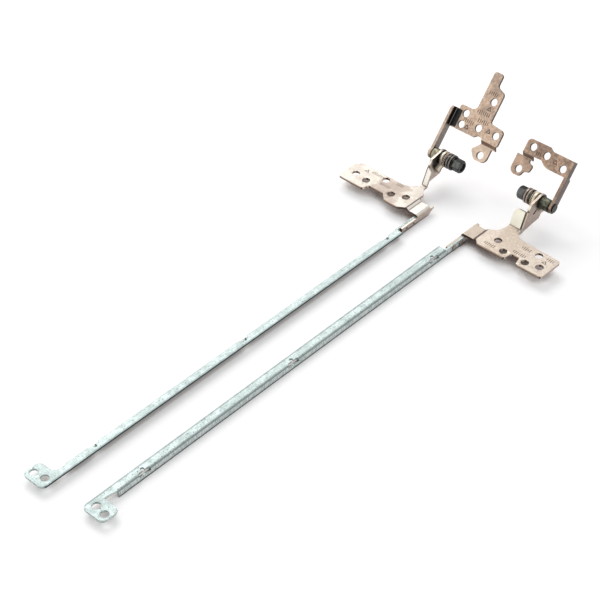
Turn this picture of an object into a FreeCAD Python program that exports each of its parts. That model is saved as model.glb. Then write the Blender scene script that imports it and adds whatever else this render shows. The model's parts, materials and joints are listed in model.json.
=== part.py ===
import FreeCAD, Part
import os
import re
import Sketcher
from FreeCAD import Vector

# Pair of laptop hinges lying flat. X runs across the pair, Y along the rails towards the
# shafts, Z up from the table. The origin is the bottom centre of the pair's box.

# Driving dimensions, millimetres and degrees

SIZES = {
    # Arrangement: each hinge is measured from a datum on its shaft axis
    "hinge_spacing": 24.4,
    "left_axis_along": 99.93,
    "right_lead": 3.2,
    "axis_height": 12.3,
    "rest_angle": 50.0,
    # Display rail, L section
    "web_inset": 0.6,
    "rail_sheet": 0.8,
    "rail_width": 3.7,
    "rail_height": 3.2,
    "rail_outer_bend": 1.0,
    "rail_inner_bend": 0.3,
    "rail_back": 227.5,
    "flat_back": 39.7,
    "tongue_back": 27.7,
    "tongue_height": 3.0,
    "end_tab_length": 8.0,
    "end_tab_reach": 6.8,
    "end_tab_corner": 2.2,
    "relief_depth": 1.0,
    "relief_length": 5.6,
    "relief_end_inset": 0.4,
    "left_relief_round": 2.8,
    "left_relief_ramp": 1.6,
    "right_relief_round": 0.8,
    "right_relief_ramp": 3.4,
    "end_hole": 3.3,
    "end_hole_near_across": -0.45,
    "end_hole_near_inset": 4.0,
    "end_hole_far_across": 4.3,
    "end_hole_far_inset": 3.2,
    "pin_hole": 1.4,
    "pin_hole_inset": 1.6,
    "pin_hole_first_back": 201.5,
    "pin_hole_middle_back": 127.0,
    "pin_hole_last_back": 46.6,
    "crease_slot_length": 5.4,
    "crease_slot_width": 1.0,
    "crease_slot_drop": 1.3,
    # Rivets pressed out of the bracket's side tab
    "rivet": 1.6,
    "rivet_head": 2.1,
    "rivet_head_height": 0.3,
    "rivet_first_back": 34.7,
    "rivet_second_back": 30.5,
    "rivet_height": 1.6,
    "rivet_punch": 0.9,
    "rivet_punch_depth": 0.6,
    "rivet_play": 0.02,
    # Display bracket, common to both hinges
    "sheet": 1.0,
    "strip_lift": 0.1,
    "joggle_rise": 1.0,
    "joggle_run": 1.3,
    "joggle_overlap": 0.6,
    "joggle_shift": 0.3,
    "strip_near_back": 28.1,
    "strip_far_back": 20.1,
    "side_tab_near_back": 37.7,
    "side_tab_far_back": 17.8,
    "side_tab_bottom": 0.9,
    "side_tab_rise": 1.3,
    "side_tab_rise_length": 3.2,
    "side_tab_bend": 1.2,
    "plate_near_back": 30.2,
    "crease_back": 12.3,
    "corner_back": 14.0,
    "neck_angle": 65.0,
    "neck_length": 7.6,
    "neck_corner": 2.0,
    "crease_bend": 0.8,
    "lug_bend": 1.2,
    "plate_corner": 1.2,
    "screw_hole": 3.3,
    # Shaft lug, outline about the axis
    "fold_depth": 1.5,
    "lug_shoulder_back": 7.6,
    "lug_shoulder_rise": 0.7,
    "lug_top_back": 6.5,
    "lug_top_rise": 2.3,
    "eye_radius": 3.4,
    "lug_step_ahead": 2.5,
    "lug_step_drop": 5.6,
    "lug_heel_ahead": 0.3,
    "lug_toe_back": 1.0,
    "lug_toe_drop": 7.4,
    "peg_slot_angle": 212.0,
    "peg_slot_start": 3.6,
    "peg_slot_end": 6.0,
    "peg_slot_width": 0.9,
    # Shaft
    "stem_radius": 1.75,
    "collar_radius": 2.6,
    "tail_radius": 1.4,
    "tail_head_radius": 1.8,
    "tail_head_height": 0.5,
    "stop_notch_floor": 1.9,
    "stop_notch_width": 1.7,
    "stop_notch_length": 1.5,
    "running_play": 0.05,
    "seat_gap": 0.04,
    "thread_play": 0.02,
    # Washer stack, from the lug towards the nut
    "friction_thickness": 0.8,
    "friction_radius": 3.1,
    "tab_washer_thickness": 1.05,
    "tab_washer_radius": 3.25,
    "tab_tail_radius": 5.7,
    "tab_tail_width": 2.2,
    "peg_width": 0.7,
    "peg_start": 4.2,
    "peg_depth": 0.7,
    "bronze_thickness": 1.25,
    "bronze_radius": 3.1,
    "backing_thickness": 0.45,
    "backing_radius": 3.25,
    "spring_thickness": 0.34,
    "spring_rise": 0.29,
    "spring_radius": 3.3,
    "end_washer_thickness": 0.5,
    "end_washer_radius": 2.9,
    "nut_across_flats": 4.8,
    "nut_chamfer": 0.3,
    "stem_recess": 0.6,
    # Base bracket, common to both hinges
    "base_sheet": 1.2,
    "arm_back": 2.1,
    "arm_front": 2.0,
    "arm_end_radius": 2.45,
    "arm_corner": 1.0,
    "base_bend": 1.3,
    "base_inner_bend": 0.3,
    "base_corner": 1.0,
    "base_hole": 3.2,
    "tongue_step": 1.6,
    "tongue_joggle": 1.4,
    "joggle_lap": 0.5,
    "tongue_round": 2.6,
    "thumb_round": 0.7,
    "plate_round": 1.8,
    "finger_round": 1.3,
    "finger_hollow": 2.2,
    "shoulder_hollow": 1.4,
    # Left hinge, display bracket and nut
    "left_neck_start": 6.3,
    "left_lug_face": 9.4,
    "left_nut_length": 3.7,
    "left_joggle_end": 3.6,
    "left_near_slope": 3.0,
    "left_plate_reach": 38.0,
    "left_plate_far_back": 17.4,
    "left_tip_across": 2.2,
    "left_tip_along": 2.4,
    "left_notch_start": 16.8,
    "left_notch_end": 24.2,
    "left_notch_depth": 3.1,
    "left_notch_lead": 3.3,
    "left_notch_trail": 0.9,
    "left_sweep_across": 5.3,
    "left_sweep_bend_across": 1.6,
    "left_sweep_bend_along": 1.2,
    "left_sweep_round": 5.0,
    "left_hollow_across": 0.2,
    "left_hollow_back": 16.8,
    "left_hollow_round": 2.4,
    "left_plate_hole_1_across": 33.4,
    "left_plate_hole_1_back": 24.5,
    "left_plate_hole_2_across": 27.3,
    "left_plate_hole_2_back": 25.25,
    "left_plate_hole_3_across": 21.3,
    "left_plate_hole_3_back": 19.7,
    "left_plate_hole_4_across": 13.8,
    "left_plate_hole_4_back": 25.4,
    "left_plate_hole_5_across": 8.0,
    "left_plate_hole_5_back": 23.1,
    # Left hinge, base bracket
    "left_arm_face": 13.0,
    "left_arm_length": 20.8,
    "left_base_bottom": 12.8,
    "left_base_rise": 2.1,
    "left_bend_relief": 1.2,
    "left_finger_outboard": 4.45,
    "left_finger_inboard": 0.3,
    "left_finger_top": 40.5,
    "left_shoulder_top": 35.2,
    "left_shoulder_low": 33.6,
    "left_shoulder_across": -3.95,
    "left_ear_root": 20.9,
    "left_ear_top": 20.1,
    "left_ear_low": 13.0,
    "left_ear_across": -11.3,
    "left_step_inboard": -1.0,
    "left_step_outboard": 0.5,
    "left_step_rise": 1.3,
    "left_base_hole_1_across": 8.1,
    "left_base_hole_1_along": 20.15,
    "left_base_hole_2_across": 8.0,
    "left_base_hole_2_along": 15.4,
    "left_base_hole_3_across": 0.0,
    "left_base_hole_3_along": 17.0,
    "left_base_hole_4_across": -8.65,
    "left_base_hole_4_along": 17.2,
    "left_base_hole_5_across": -1.1,
    "left_base_hole_5_along": 29.0,
    "left_tongue_top": 11.9,
    "left_tongue_bend_inboard": -10.6,
    "left_tongue_bend_outboard": -3.5,
    "left_tongue_hole_across": -5.3,
    "left_tongue_hole_along": 7.5,
    "left_tongue_outboard": -3.5,
    "left_tongue_inboard": -8.8,
    "left_tongue_end": 4.9,
    "left_tongue_heel": -3.3,
    "left_thumb_root_across": -2.3,
    "left_thumb_root_along": 10.4,
    "left_thumb_top_across": -0.5,
    "left_thumb_top_along": 8.6,
    "left_thumb_low_across": -0.9,
    "left_thumb_low_along": 7.6,
    # Right hinge, display bracket and nut
    "right_neck_start": 9.1,
    "right_lug_face": 15.0,
    "right_nut_length": 3.0,
    "right_joggle_end": 4.9,
    "right_near_slope": 2.1,
    "right_plate_reach": 38.0,
    "right_plate_far_back": 17.6,
    "right_notch_start": 20.9,
    "right_notch_end": 24.7,
    "right_notch_depth": 4.0,
    "right_notch_lead": 0.6,
    "right_notch_trail": 0.9,
    "right_sweep_across": 2.3,
    "right_sweep_along": 0.8,
    "right_sweep_round": 2.6,
    "right_hollow_across": 3.1,
    "right_hollow_back": 18.3,
    "right_hollow_round": 4.0,
    "right_plate_hole_1_across": 12.0,
    "right_plate_hole_1_back": 23.2,
    "right_plate_hole_2_across": 17.5,
    "right_plate_hole_2_back": 27.2,
    "right_plate_hole_3_across": 29.5,
    "right_plate_hole_3_back": 20.1,
    "right_plate_hole_4_across": 27.9,
    "right_plate_hole_4_back": 27.1,
    "right_plate_hole_5_across": 33.8,
    "right_plate_hole_5_back": 25.6,
    # Right hinge, base bracket
    "right_arm_face": 19.7,
    "right_arm_length": 19.75,
    "right_base_bottom": 12.5,
    "right_rise_outboard": 8.9,
    "right_rise_inboard": 7.0,
    "right_rise_top": 20.9,
    "right_end_across": -2.95,
    "right_end_top": 20.7,
    "right_end_low": 14.4,
    "right_step_inboard": 6.4,
    "right_step_top": 14.5,
    "right_step_middle": 8.1,
    "right_step_low": 13.1,
    "right_step_outboard": 10.2,
    "right_base_hole_1_across": 0.4,
    "right_base_hole_1_along": 18.0,
    "right_base_hole_2_across": 7.4,
    "right_base_hole_2_along": 17.1,
    "right_base_hole_3_across": 16.25,
    "right_base_hole_3_along": 15.2,
    "right_tongue_top": 13.2,
    "right_tongue_bend_inboard": -3.0,
    "right_tongue_bend_outboard": 1.9,
    "right_tongue_hole_across": -2.15,
    "right_tongue_hole_along": 7.65,
    "right_tongue_outboard": 0.7,
    "right_tongue_inboard": -5.6,
    "right_tongue_end": 4.9,
    "right_tongue_heel": -0.6,
    "right_thumb_root_across": 0.8,
    "right_thumb_root_along": 11.6,
    "right_thumb_top_across": 3.1,
    "right_thumb_top_along": 10.9,
    "right_thumb_low_across": 2.6,
    "right_thumb_low_along": 8.0,
    "right_thumb_foot_across": 0.3,
    "right_thumb_foot_along": 7.4,
    # Insulating tape of the left hinge
    "tape": 0.15,
    "tape_width": 3.0,
    "tape_edge": 0.3,
    "tape_start_inset": 0.4,
    "tape_end_inset": 0.1,
}

doc = FreeCAD.newDocument("LaptopHinges")
sheet = doc.addObject("Spreadsheet::Sheet", "Sizes")
for row, (name, value) in enumerate(SIZES.items(), start=1):
    sheet.set("A%d" % row, name)
    sheet.set("B%d" % row, str(value))
    sheet.setAlias("B%d" % row, name)
doc.recompute()


# Helpers for bound features

def bound(expression):
    """Point every dimension name in an expression at the spreadsheet."""
    def qualified(match):
        word = match.group(0)
        return "Sizes." + word if word in SIZES else word
    return re.sub(r"[A-Za-z_][A-Za-z_0-9]*", qualified, str(expression))


def number(expression):
    """Present value of an expression of dimension names."""
    value = sheet.evalExpression(bound(expression))
    return float(getattr(value, "Value", value))


def bind(feature, prop, expression):
    feature.setExpression(prop, bound(expression))


def new_body(label, across, along, height="0", turn=None):
    """Body placed in the shared frame, turned about X when it belongs to the shaft."""
    body = doc.addObject("PartDesign::Body", label)
    body.Label = label
    angle = number(turn) if turn else 0.0
    body.Placement = FreeCAD.Placement(
        Vector(number(across), number(along), number(height)),
        FreeCAD.Rotation(Vector(1, 0, 0), angle))
    bind(body, "Placement.Base.x", across)
    bind(body, "Placement.Base.y", along)
    bind(body, "Placement.Base.z", height)
    if turn:
        bind(body, "Placement.Rotation.Angle", turn)
    return body


def sketch_on(body, role, offset="0"):
    """Sketch on one of the body's own origin planes, shifted along its normal."""
    sketch = body.newObject("Sketcher::SketchObject", "Sketch")
    planes = [item for item in body.Origin.OriginFeatures if item.Role == role]
    sketch.AttachmentSupport = [(planes[0], "")]
    sketch.MapMode = "FlatFace"
    bind(sketch, "AttachmentOffset.Base.z", offset)
    return sketch


def add_bound(sketch, constraints):
    """Add constraints as one batch, then tie each valued one to its expression."""
    first = sketch.ConstraintCount
    sketch.addConstraint([constraint for constraint, _ in constraints])
    for index, (_, expression) in enumerate(constraints):
        if expression is not None:
            sketch.setExpression("Constraints[%d]" % (first + index), bound(expression))


def pins(geometry, position, point):
    """Constraints that hold one sketch point at bound distances from the origin."""
    across, up = point
    return [
        (Sketcher.Constraint("DistanceX", -1, 1, geometry, position, number(across)), across),
        (Sketcher.Constraint("DistanceY", -1, 1, geometry, position, number(up)), up),
    ]


def outline(sketch, points):
    """Closed polygon through bound points."""
    places = [Vector(number(across), number(up), 0) for across, up in points]
    start = sketch.GeometryCount
    count = len(places)
    sketch.addGeometry([Part.LineSegment(places[i], places[(i + 1) % count]) for i in range(count)])
    constraints = []
    for i in range(count):
        following = start + (i + 1) % count
        constraints.append((Sketcher.Constraint("Coincident", start + i, 2, following, 1), None))
        constraints += pins(start + i, 1, points[i])
    add_bound(sketch, constraints)


def circle(sketch, centre, diameter):
    """Circle with bound centre and diameter."""
    place = Vector(number(centre[0]), number(centre[1]), 0)
    geometry = sketch.addGeometry(Part.Circle(place, Vector(0, 0, 1), number(diameter) / 2))
    size = Sketcher.Constraint("Diameter", geometry, number(diameter))
    add_bound(sketch, pins(geometry, 3, centre) + [(size, diameter)])


def settle(body, feature):
    """Recompute and stop at the first feature that fails."""
    doc.recompute()
    if not feature.isValid():
        raise RuntimeError("%s failed in %s" % (feature.Name, body.Label))
    return feature


def pad(body, sketch, length):
    feature = body.newObject("PartDesign::Pad", "Pad")
    feature.Profile = sketch
    feature.Length = number(length)
    bind(feature, "Length", length)
    return settle(body, feature)


def pocket(body, sketch, depth):
    """Cut from the sketch against its normal."""
    feature = body.newObject("PartDesign::Pocket", "Pocket")
    feature.Profile = sketch
    before = body.Shape.Volume
    feature.Length = number(depth)
    bind(feature, "Length", depth)
    settle(body, feature)
    if body.Shape.Volume >= before:
        raise RuntimeError("pocket removed nothing in " + body.Label)
    return feature


def revolve(body, sketch, kind="PartDesign::Revolution"):
    """Full turn about the sketch's horizontal axis, which is the shaft axis."""
    feature = body.newObject(kind, "Turned")
    feature.Profile = sketch
    feature.ReferenceAxis = (sketch, ["H_Axis"])
    feature.Angle = 360.0
    return settle(body, feature)


def round_edges(body, test, radius):
    """Fillet the edges of the body's last feature whose sampled points all pass a test."""
    base = body.Tip
    names = []
    for index, edge in enumerate(base.Shape.Edges, start=1):
        points = edge.discretize(5)
        if all(test(point) for point in points):
            names.append("Edge%d" % index)
    if not names:
        raise RuntimeError("no edge to round in " + body.Label)
    fillet = body.newObject("PartDesign::Fillet", "Fillet")
    fillet.Base = (base, names)
    fillet.Radius = number(radius)
    bind(fillet, "Radius", radius)
    return settle(body, fillet)


TOUCH = 1e-4


def near(value, expression):
    return abs(value - number(expression)) < TOUCH


def round_corners(body, corners, radius, level):
    """Round the corners of a flat outline: edges that stand on the given bound points."""
    spots = [(number(across), number(up)) for across, up in corners]
    low, high = (number(limit) for limit in level)

    def stands(point):
        within = low - TOUCH <= point.z <= high + TOUCH
        return within and any(abs(point.x - x) < TOUCH and abs(point.y - y) < TOUCH for x, y in spots)
    return round_edges(body, stands, radius)


class Side:
    """Names and signs of one hinge; u is measured outboard from the hinge's datum."""

    def __init__(self, name, sign, along):
        self.name = name
        self.sign = sign
        self.across = "%d * hinge_spacing / 2" % sign
        self.web_across = "%d * (hinge_spacing / 2 - web_inset)" % sign
        self.along = along

    def label(self, word):
        return self.name + "_" + word

    def u(self, expression):
        return "%d * (%s)" % (self.sign, expression)

    def flat(self, points):
        return [(self.u(across), along) for across, along in points]

    def start(self, inner, outer):
        """Lower X end of a slab that lies between two values of u."""
        return "(%s)" % inner if self.sign > 0 else "-(%s)" % outer

    def hinge_body(self, word):
        return new_body(self.label(word), self.across, self.along)

    def shaft_body(self, word):
        return new_body(self.label(word), self.across, self.along, "axis_height", "rest_angle")

    def slab(self, body, points, inner, outer):
        """Pad of an outline in the YZ plane between two values of u."""
        sketch = sketch_on(body, "YZ_Plane", self.start(inner, outer))
        outline(sketch, points)
        return pad(body, sketch, "(%s) - (%s)" % (outer, inner))

    def disc(self, body, diameter, inner, outer, centre=("0", "0")):
        sketch = sketch_on(body, "YZ_Plane", self.start(inner, outer))
        circle(sketch, centre, diameter)
        return pad(body, sketch, "(%s) - (%s)" % (outer, inner))

    def bore(self, body, diameter, inner, outer, centre=("0", "0")):
        """Round hole along X; the cut runs from the outer X end back to the inner one."""
        end = "(%s) + (%s) - (%s)" % (self.start(inner, outer), outer, inner)
        sketch = sketch_on(body, "YZ_Plane", end)
        circle(sketch, centre, diameter)
        return pocket(body, sketch, "(%s) - (%s)" % (outer, inner))

    def turned(self, body, points, kind="PartDesign::Revolution"):
        """Solid of revolution about the shaft axis from (u, radius) points."""
        sketch = sketch_on(body, "XY_Plane")
        outline(sketch, self.flat(points))
        return revolve(body, sketch, kind)


LEFT = Side("left", -1, "left_axis_along")
RIGHT = Side("right", 1, "left_axis_along + right_lead")
SIDES = (LEFT, RIGHT)


# Heights shared by rail and display bracket

STRIP_BOTTOM = "(tongue_height + strip_lift)"
STRIP_TOP = "(tongue_height + strip_lift + sheet)"
PLATE_BOTTOM = "(tongue_height + strip_lift + joggle_rise)"
PLATE_TOP = "(tongue_height + strip_lift + joggle_rise + sheet)"
FLAT_BOTTOM = "(rail_height - rail_sheet)"


def holes_down(body, side, places, diameter, top, depth):
    """Round holes cut downwards from a level."""
    sketch = sketch_on(body, "XY_Plane", top)
    for across, along in places:
        circle(sketch, (side.u(across), along), diameter)
    return pocket(body, sketch, depth)


# Display rail

def make_rail(side):
    body = new_body(side.label("rail"), side.web_across, side.along)
    web_start = "-(rail_back - end_tab_length - relief_length)"
    section = sketch_on(body, "XZ_Plane", "flat_back")
    outline(section, side.flat([
        ("0", "0"),
        ("-rail_sheet", "0"),
        ("-rail_sheet", FLAT_BOTTOM),
        ("-rail_width", FLAT_BOTTOM),
        ("-rail_width", "rail_height"),
        ("0", "rail_height"),
    ]))
    pad(body, section, "-(%s) - flat_back" % web_start)
    round_edges(body, lambda p: near(p.x, "0") and near(p.z, "rail_height"), "rail_outer_bend")
    inner = side.u("-rail_sheet")
    round_edges(body, lambda p: near(p.x, inner) and near(p.z, FLAT_BOTTOM), "rail_inner_bend")

    end_flat = sketch_on(body, "XY_Plane", FLAT_BOTTOM)
    tab_front = "-(rail_back - end_tab_length)"
    tab = [
        ("-rail_width", web_start),
        ("-rail_width", "-rail_back"),
        ("end_tab_reach", "-rail_back"),
        ("end_tab_reach", tab_front),
        ("-relief_depth", tab_front),
        ("-relief_depth", web_start + " - " + side.label("relief_ramp")),
        ("-relief_end_inset", web_start),
    ]
    outline(end_flat, side.flat(tab))
    pad(body, end_flat, "rail_sheet")
    thickness = (FLAT_BOTTOM, "rail_height")
    round_corners(body, side.flat(tab[1:4]), "end_tab_corner", thickness)
    round_corners(body, side.flat(tab[4:5]), side.label("relief_round"), thickness)

    side.slab(body, [
        ("-flat_back", "0"),
        ("-tongue_back", "0"),
        ("-tongue_back", "tongue_height"),
        ("-flat_back", "tongue_height"),
    ], "-rail_sheet", "0")

    holes_down(body, side, [
        ("end_hole_near_across", "-rail_back + end_hole_near_inset"),
        ("end_hole_far_across", "-rail_back + end_hole_far_inset"),
    ], "end_hole", "rail_height", "rail_sheet")
    backs = ("pin_hole_first_back", "pin_hole_middle_back", "pin_hole_last_back")
    holes_down(body, side, [("-pin_hole_inset", "-" + back) for back in backs],
               "pin_hole", "rail_height", "rail_sheet")
    slots = sketch_on(body, "XY_Plane", "rail_height")
    slot_ends = []
    for back in backs:
        rear = "-%s - crease_slot_length / 2 + crease_slot_width" % back
        front = "-%s + crease_slot_length / 2 - crease_slot_width" % back
        outline(slots, side.flat([
            ("0", rear), ("0", front), ("-crease_slot_width", front), ("-crease_slot_width", rear)]))
        slot_ends += [("0", rear), ("0", front)]
    pocket(body, slots, "crease_slot_drop")
    holes_down(body, side, slot_ends, "2 * crease_slot_width", "rail_height", "crease_slot_drop")
    for back in ("rivet_first_back", "rivet_second_back"):
        side.bore(body, "rivet + 2 * rivet_play", "-rail_sheet", "0", ("-" + back, "rivet_height"))
    return body


# Display bracket: plate, joggled strip, riveted side tab, neck and shaft lug

def plate_points(side):
    """Outline of the screw plate in (u, y), its small corners and its wide ones."""
    size = side.label
    near_edge = "-plate_near_back"
    far_edge = "-" + size("plate_far_back")
    reach = size("plate_reach")
    notch_floor = near_edge + " + " + size("notch_depth")
    lug = size("lug_face")
    joggle_end = size("joggle_end")
    near_side = [
        (joggle_end, "-strip_near_back"),
        (joggle_end + " + " + size("near_slope"), near_edge),
        (size("notch_start") + " - " + size("notch_lead"), near_edge),
        (size("notch_start"), notch_floor),
        (size("notch_end"), notch_floor),
        (size("notch_end") + " + " + size("notch_trail"), near_edge),
        (reach, near_edge),
    ]
    if side is LEFT:
        far_side = [
            (reach, far_edge + " - left_tip_along"),
            (reach + " - left_tip_across", far_edge),
        ]
        sweep = [
            (lug + " + left_sweep_across", far_edge),
            (lug + " + left_sweep_bend_across", far_edge + " + left_sweep_bend_along"),
        ]
    else:
        far_side = [(reach, far_edge)]
        sweep = [(lug + " + right_sweep_across", far_edge + " + right_sweep_along")]
    neck_root = [
        (lug, "-corner_back"),
        (size("neck_start"), "-corner_back"),
    ]
    hollow = [(joggle_end + " + " + size("hollow_across"), "-" + size("hollow_back"))]
    strip_corner = [(joggle_end, "-strip_far_back")]
    points = near_side + far_side + sweep + neck_root + hollow + strip_corner
    wide = [(sweep, size("sweep_round")), (hollow, size("hollow_round"))]
    return points, near_side[2:] + far_side, wide


def hole_places(side, kind, along_word, sign=""):
    """Centres of the numbered holes of one plate, as many as the table names."""
    places = []
    name = side.label(kind + "_hole_%d_")
    while name % (len(places) + 1) + "across" in SIZES:
        numbered = name % (len(places) + 1)
        places.append((numbered + "across", sign + numbered + along_word))
    return places


def neck_path(depth):
    """Plate corner and rising neck in the YZ plane, thickened downwards by a depth."""
    top_along = "-crease_back + neck_length * cos(neck_angle)"
    top_up = PLATE_TOP + " + neck_length * sin(neck_angle)"
    return [
        ("-corner_back", PLATE_TOP + " - " + depth),
        ("-crease_back + %s * tan(neck_angle / 2)" % depth, PLATE_TOP + " - " + depth),
        (top_along + " + %s * sin(neck_angle)" % depth, top_up + " - %s * cos(neck_angle)" % depth),
        (top_along, top_up),
        ("-crease_back", PLATE_TOP),
        ("-corner_back", PLATE_TOP),
    ]


def make_neck(side, body):
    """Neck with its outer edge rolled over backwards, where the lug begins."""
    lug = side.label("lug_face")
    start = side.label("neck_start")
    side.slab(body, neck_path("sheet"), start, lug)
    side.slab(body, neck_path("fold_depth"), lug + " - sheet", lug)
    crease = number("-crease_back")
    round_edges(body, lambda p: abs(p.y - crease) < TOUCH and near(p.z, PLATE_TOP), "crease_bend")
    lug_x = number(side.u(lug))
    top_along, top_up = (number(value) for value in neck_path("sheet")[3])
    level = number(PLATE_TOP)
    slope = (top_up - level) / (top_along - crease)

    def on_fold(point):
        height = level + max(0.0, slope * (point.y - crease))
        close = -TOUCH < point.z - height < number("crease_bend") / 2
        return abs(point.x - lug_x) < TOUCH and point.y < top_along - TOUCH and close

    def on_fold_or_end(point):
        at_end = abs(point.x - lug_x) < TOUCH and abs(point.y - top_along) < TOUCH
        return on_fold(point) or (at_end and abs(point.z - top_up) < TOUCH)
    round_edges(body, on_fold_or_end, "lug_bend")
    start_x = number(side.u(start))
    back_along, back_up = (number(value) for value in neck_path("sheet")[2])

    def at_free_corner(point):
        return abs(point.x - start_x) < TOUCH and top_along - TOUCH < point.y and \
            back_up - TOUCH < point.z < top_up + TOUCH and point.y < back_along + TOUCH
    round_edges(body, at_free_corner, "neck_corner")


def make_lug(side, body):
    """Wall behind the neck's fold, with the eye for the shaft and the slot for the peg."""
    lug = side.label("lug_face")
    inner = lug + " - sheet"
    fold = neck_path("lug_bend")
    side.slab(body, [
        ("-corner_back", fold[0][1]),
        fold[1],
        fold[2],
        ("-lug_shoulder_back", "axis_height + lug_shoulder_rise"),
        ("-lug_top_back", "axis_height + lug_top_rise"),
        ("0", "axis_height + eye_radius"),
        ("0", "axis_height"),
        ("eye_radius", "axis_height"),
        ("lug_step_ahead", "axis_height - lug_step_drop"),
        ("lug_heel_ahead", "axis_height - lug_step_drop"),
        ("-lug_toe_back", "axis_height - lug_toe_drop"),
        ("-corner_back", PLATE_TOP + " - fold_depth"),
    ], inner, lug)
    side.disc(body, "2 * eye_radius", inner, lug, ("0", "axis_height"))
    side.bore(body, "2 * (stem_radius + running_play)", inner, lug, ("0", "axis_height"))
    slot = sketch_on(body, "YZ_Plane", side.start(inner, lug) + " + sheet")
    half = "peg_slot_width / 2"
    outline(slot, [radial("peg_slot_start", "-" + half), radial("peg_slot_end", "-" + half),
                   radial("peg_slot_end", half), radial("peg_slot_start", half)])
    pocket(body, slot, "sheet")


def make_display_bracket(side):
    body = side.hinge_body("display_bracket")
    make_neck(side, body)
    make_lug(side, body)
    points, small, wide = plate_points(side)
    plate = sketch_on(body, "XY_Plane", PLATE_BOTTOM)
    outline(plate, side.flat(points))
    pad(body, plate, "sheet")
    thickness = (PLATE_BOTTOM, PLATE_TOP)
    round_corners(body, side.flat(small), "plate_corner", thickness)
    for corners, radius in wide:
        round_corners(body, side.flat(corners), radius, thickness)

    strip = sketch_on(body, "XZ_Plane", "strip_far_back")
    web_back = "-web_inset - rail_sheet"
    tab_face = web_back + " - sheet"
    joggle_end = side.label("joggle_end")
    joggle_start = joggle_end + " - joggle_run"
    outline(strip, side.flat([
        (tab_face, STRIP_BOTTOM),
        (joggle_start + " + joggle_shift", STRIP_BOTTOM),
        (joggle_end + " + joggle_shift", PLATE_BOTTOM),
        (joggle_end + " + joggle_overlap", PLATE_BOTTOM),
        (joggle_end + " + joggle_overlap", PLATE_TOP),
        (joggle_end, PLATE_TOP),
        (joggle_start, STRIP_TOP),
        (tab_face, STRIP_TOP),
    ]))
    pad(body, strip, "strip_near_back - strip_far_back")

    side.slab(body, [
        ("-strip_near_back", "side_tab_bottom"),
        ("-strip_far_back", "side_tab_bottom"),
        ("-strip_far_back", STRIP_TOP),
        ("-strip_near_back", STRIP_TOP),
    ], tab_face, web_back)
    fold_x = number(side.u(tab_face))
    round_edges(body, lambda p: abs(p.x - fold_x) < TOUCH and near(p.z, STRIP_TOP), "side_tab_bend")
    tab_far = "-side_tab_far_back"
    tab_top = STRIP_TOP + " - side_tab_bend"
    side.slab(body, [
        ("-side_tab_near_back", "side_tab_bottom"),
        (tab_far + " - side_tab_rise_length", "side_tab_bottom"),
        (tab_far, "side_tab_bottom + side_tab_rise"),
        (tab_far, tab_top),
        ("-side_tab_near_back", tab_top),
    ], tab_face, web_back)

    holes = hole_places(side, "plate", "back", "-")
    holes_down(body, side, holes, "screw_hole", PLATE_TOP, "sheet")
    for back in ("rivet_first_back", "rivet_second_back"):
        centre = ("-" + back, "rivet_height")
        side.disc(body, "rivet", web_back + " - sheet / 2", "rivet_head_height - web_inset", centre)
        side.disc(body, "rivet_head", "-web_inset", "rivet_head_height - web_inset", centre)
        side.bore(body, "rivet_punch", tab_face, tab_face + " + rivet_punch_depth", centre)
    return body


def radial(distance, offset):
    """Point in the hinge's YZ plane on the ray of the lug's peg slot."""
    along = "(%s) * cos(peg_slot_angle) - (%s) * sin(peg_slot_angle)" % (distance, offset)
    up = "axis_height + (%s) * sin(peg_slot_angle) + (%s) * cos(peg_slot_angle)" % (distance, offset)
    return along, up


# Shaft and the stack it carries

def stack_levels(side):
    """Values of u from the lug's inner face towards the nut."""
    lug_inner = side.label("lug_face") + " - sheet"
    levels = {}
    top = lug_inner + " - seat_gap"
    for name, thickness, gap in (
            ("friction_washer", "friction_thickness", "seat_gap"),
            ("tab_washer", "tab_washer_thickness", "seat_gap"),
            ("bronze_washer", "bronze_thickness", "0"),
            ("backing_washer", "backing_thickness", "0"),
            ("disc_spring_1", "(spring_thickness + spring_rise)", "0"),
            ("disc_spring_2", "(spring_thickness + spring_rise)", "0"),
            ("disc_spring_3", "(spring_thickness + spring_rise)", "0"),
            ("disc_spring_4", "(spring_thickness + spring_rise)", "0"),
            ("end_washer", "end_washer_thickness", "0"),
            ("lock_nut", side.label("nut_length"), "0")):
        bottom = top + " - " + thickness
        levels[name] = (bottom, top)
        top = bottom if gap == "0" else bottom + " - " + gap
    return levels


def make_shaft(side, levels):
    body = side.shaft_body("shaft")
    collar_start = side.label("lug_face") + " + seat_gap"
    arm = side.label("arm_face")
    stem_end = levels["lock_nut"][0] + " + stem_recess"
    side.turned(body, [
        (stem_end, "0"),
        (stem_end, "stem_radius"),
        (collar_start, "stem_radius"),
        (collar_start, "collar_radius"),
        (arm, "collar_radius"),
        (arm, "tail_radius"),
        (arm + " + base_sheet", "tail_radius"),
        (arm + " + base_sheet", "tail_head_radius"),
        (arm + " + base_sheet + tail_head_height", "tail_head_radius"),
        (arm + " + base_sheet + tail_head_height", "0"),
    ])
    notch_inner = arm + " - stop_notch_length"
    notch = sketch_on(body, "YZ_Plane", side.start(notch_inner, arm) + " + stop_notch_length")
    outline(notch, [
        ("stop_notch_floor", "-stop_notch_width / 2"),
        ("2 * collar_radius", "-stop_notch_width / 2"),
        ("2 * collar_radius", "stop_notch_width / 2"),
        ("stop_notch_floor", "stop_notch_width / 2"),
    ])
    pocket(body, notch, "stop_notch_length")
    return body


def make_washer(side, word, radius, level, play="thread_play"):
    """Plain turned ring on the stem."""
    body = side.shaft_body(word)
    bottom, top = level
    hole = "stem_radius + " + play
    side.turned(body, [(bottom, hole), (bottom, radius), (top, radius), (top, hole)])
    return body


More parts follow.
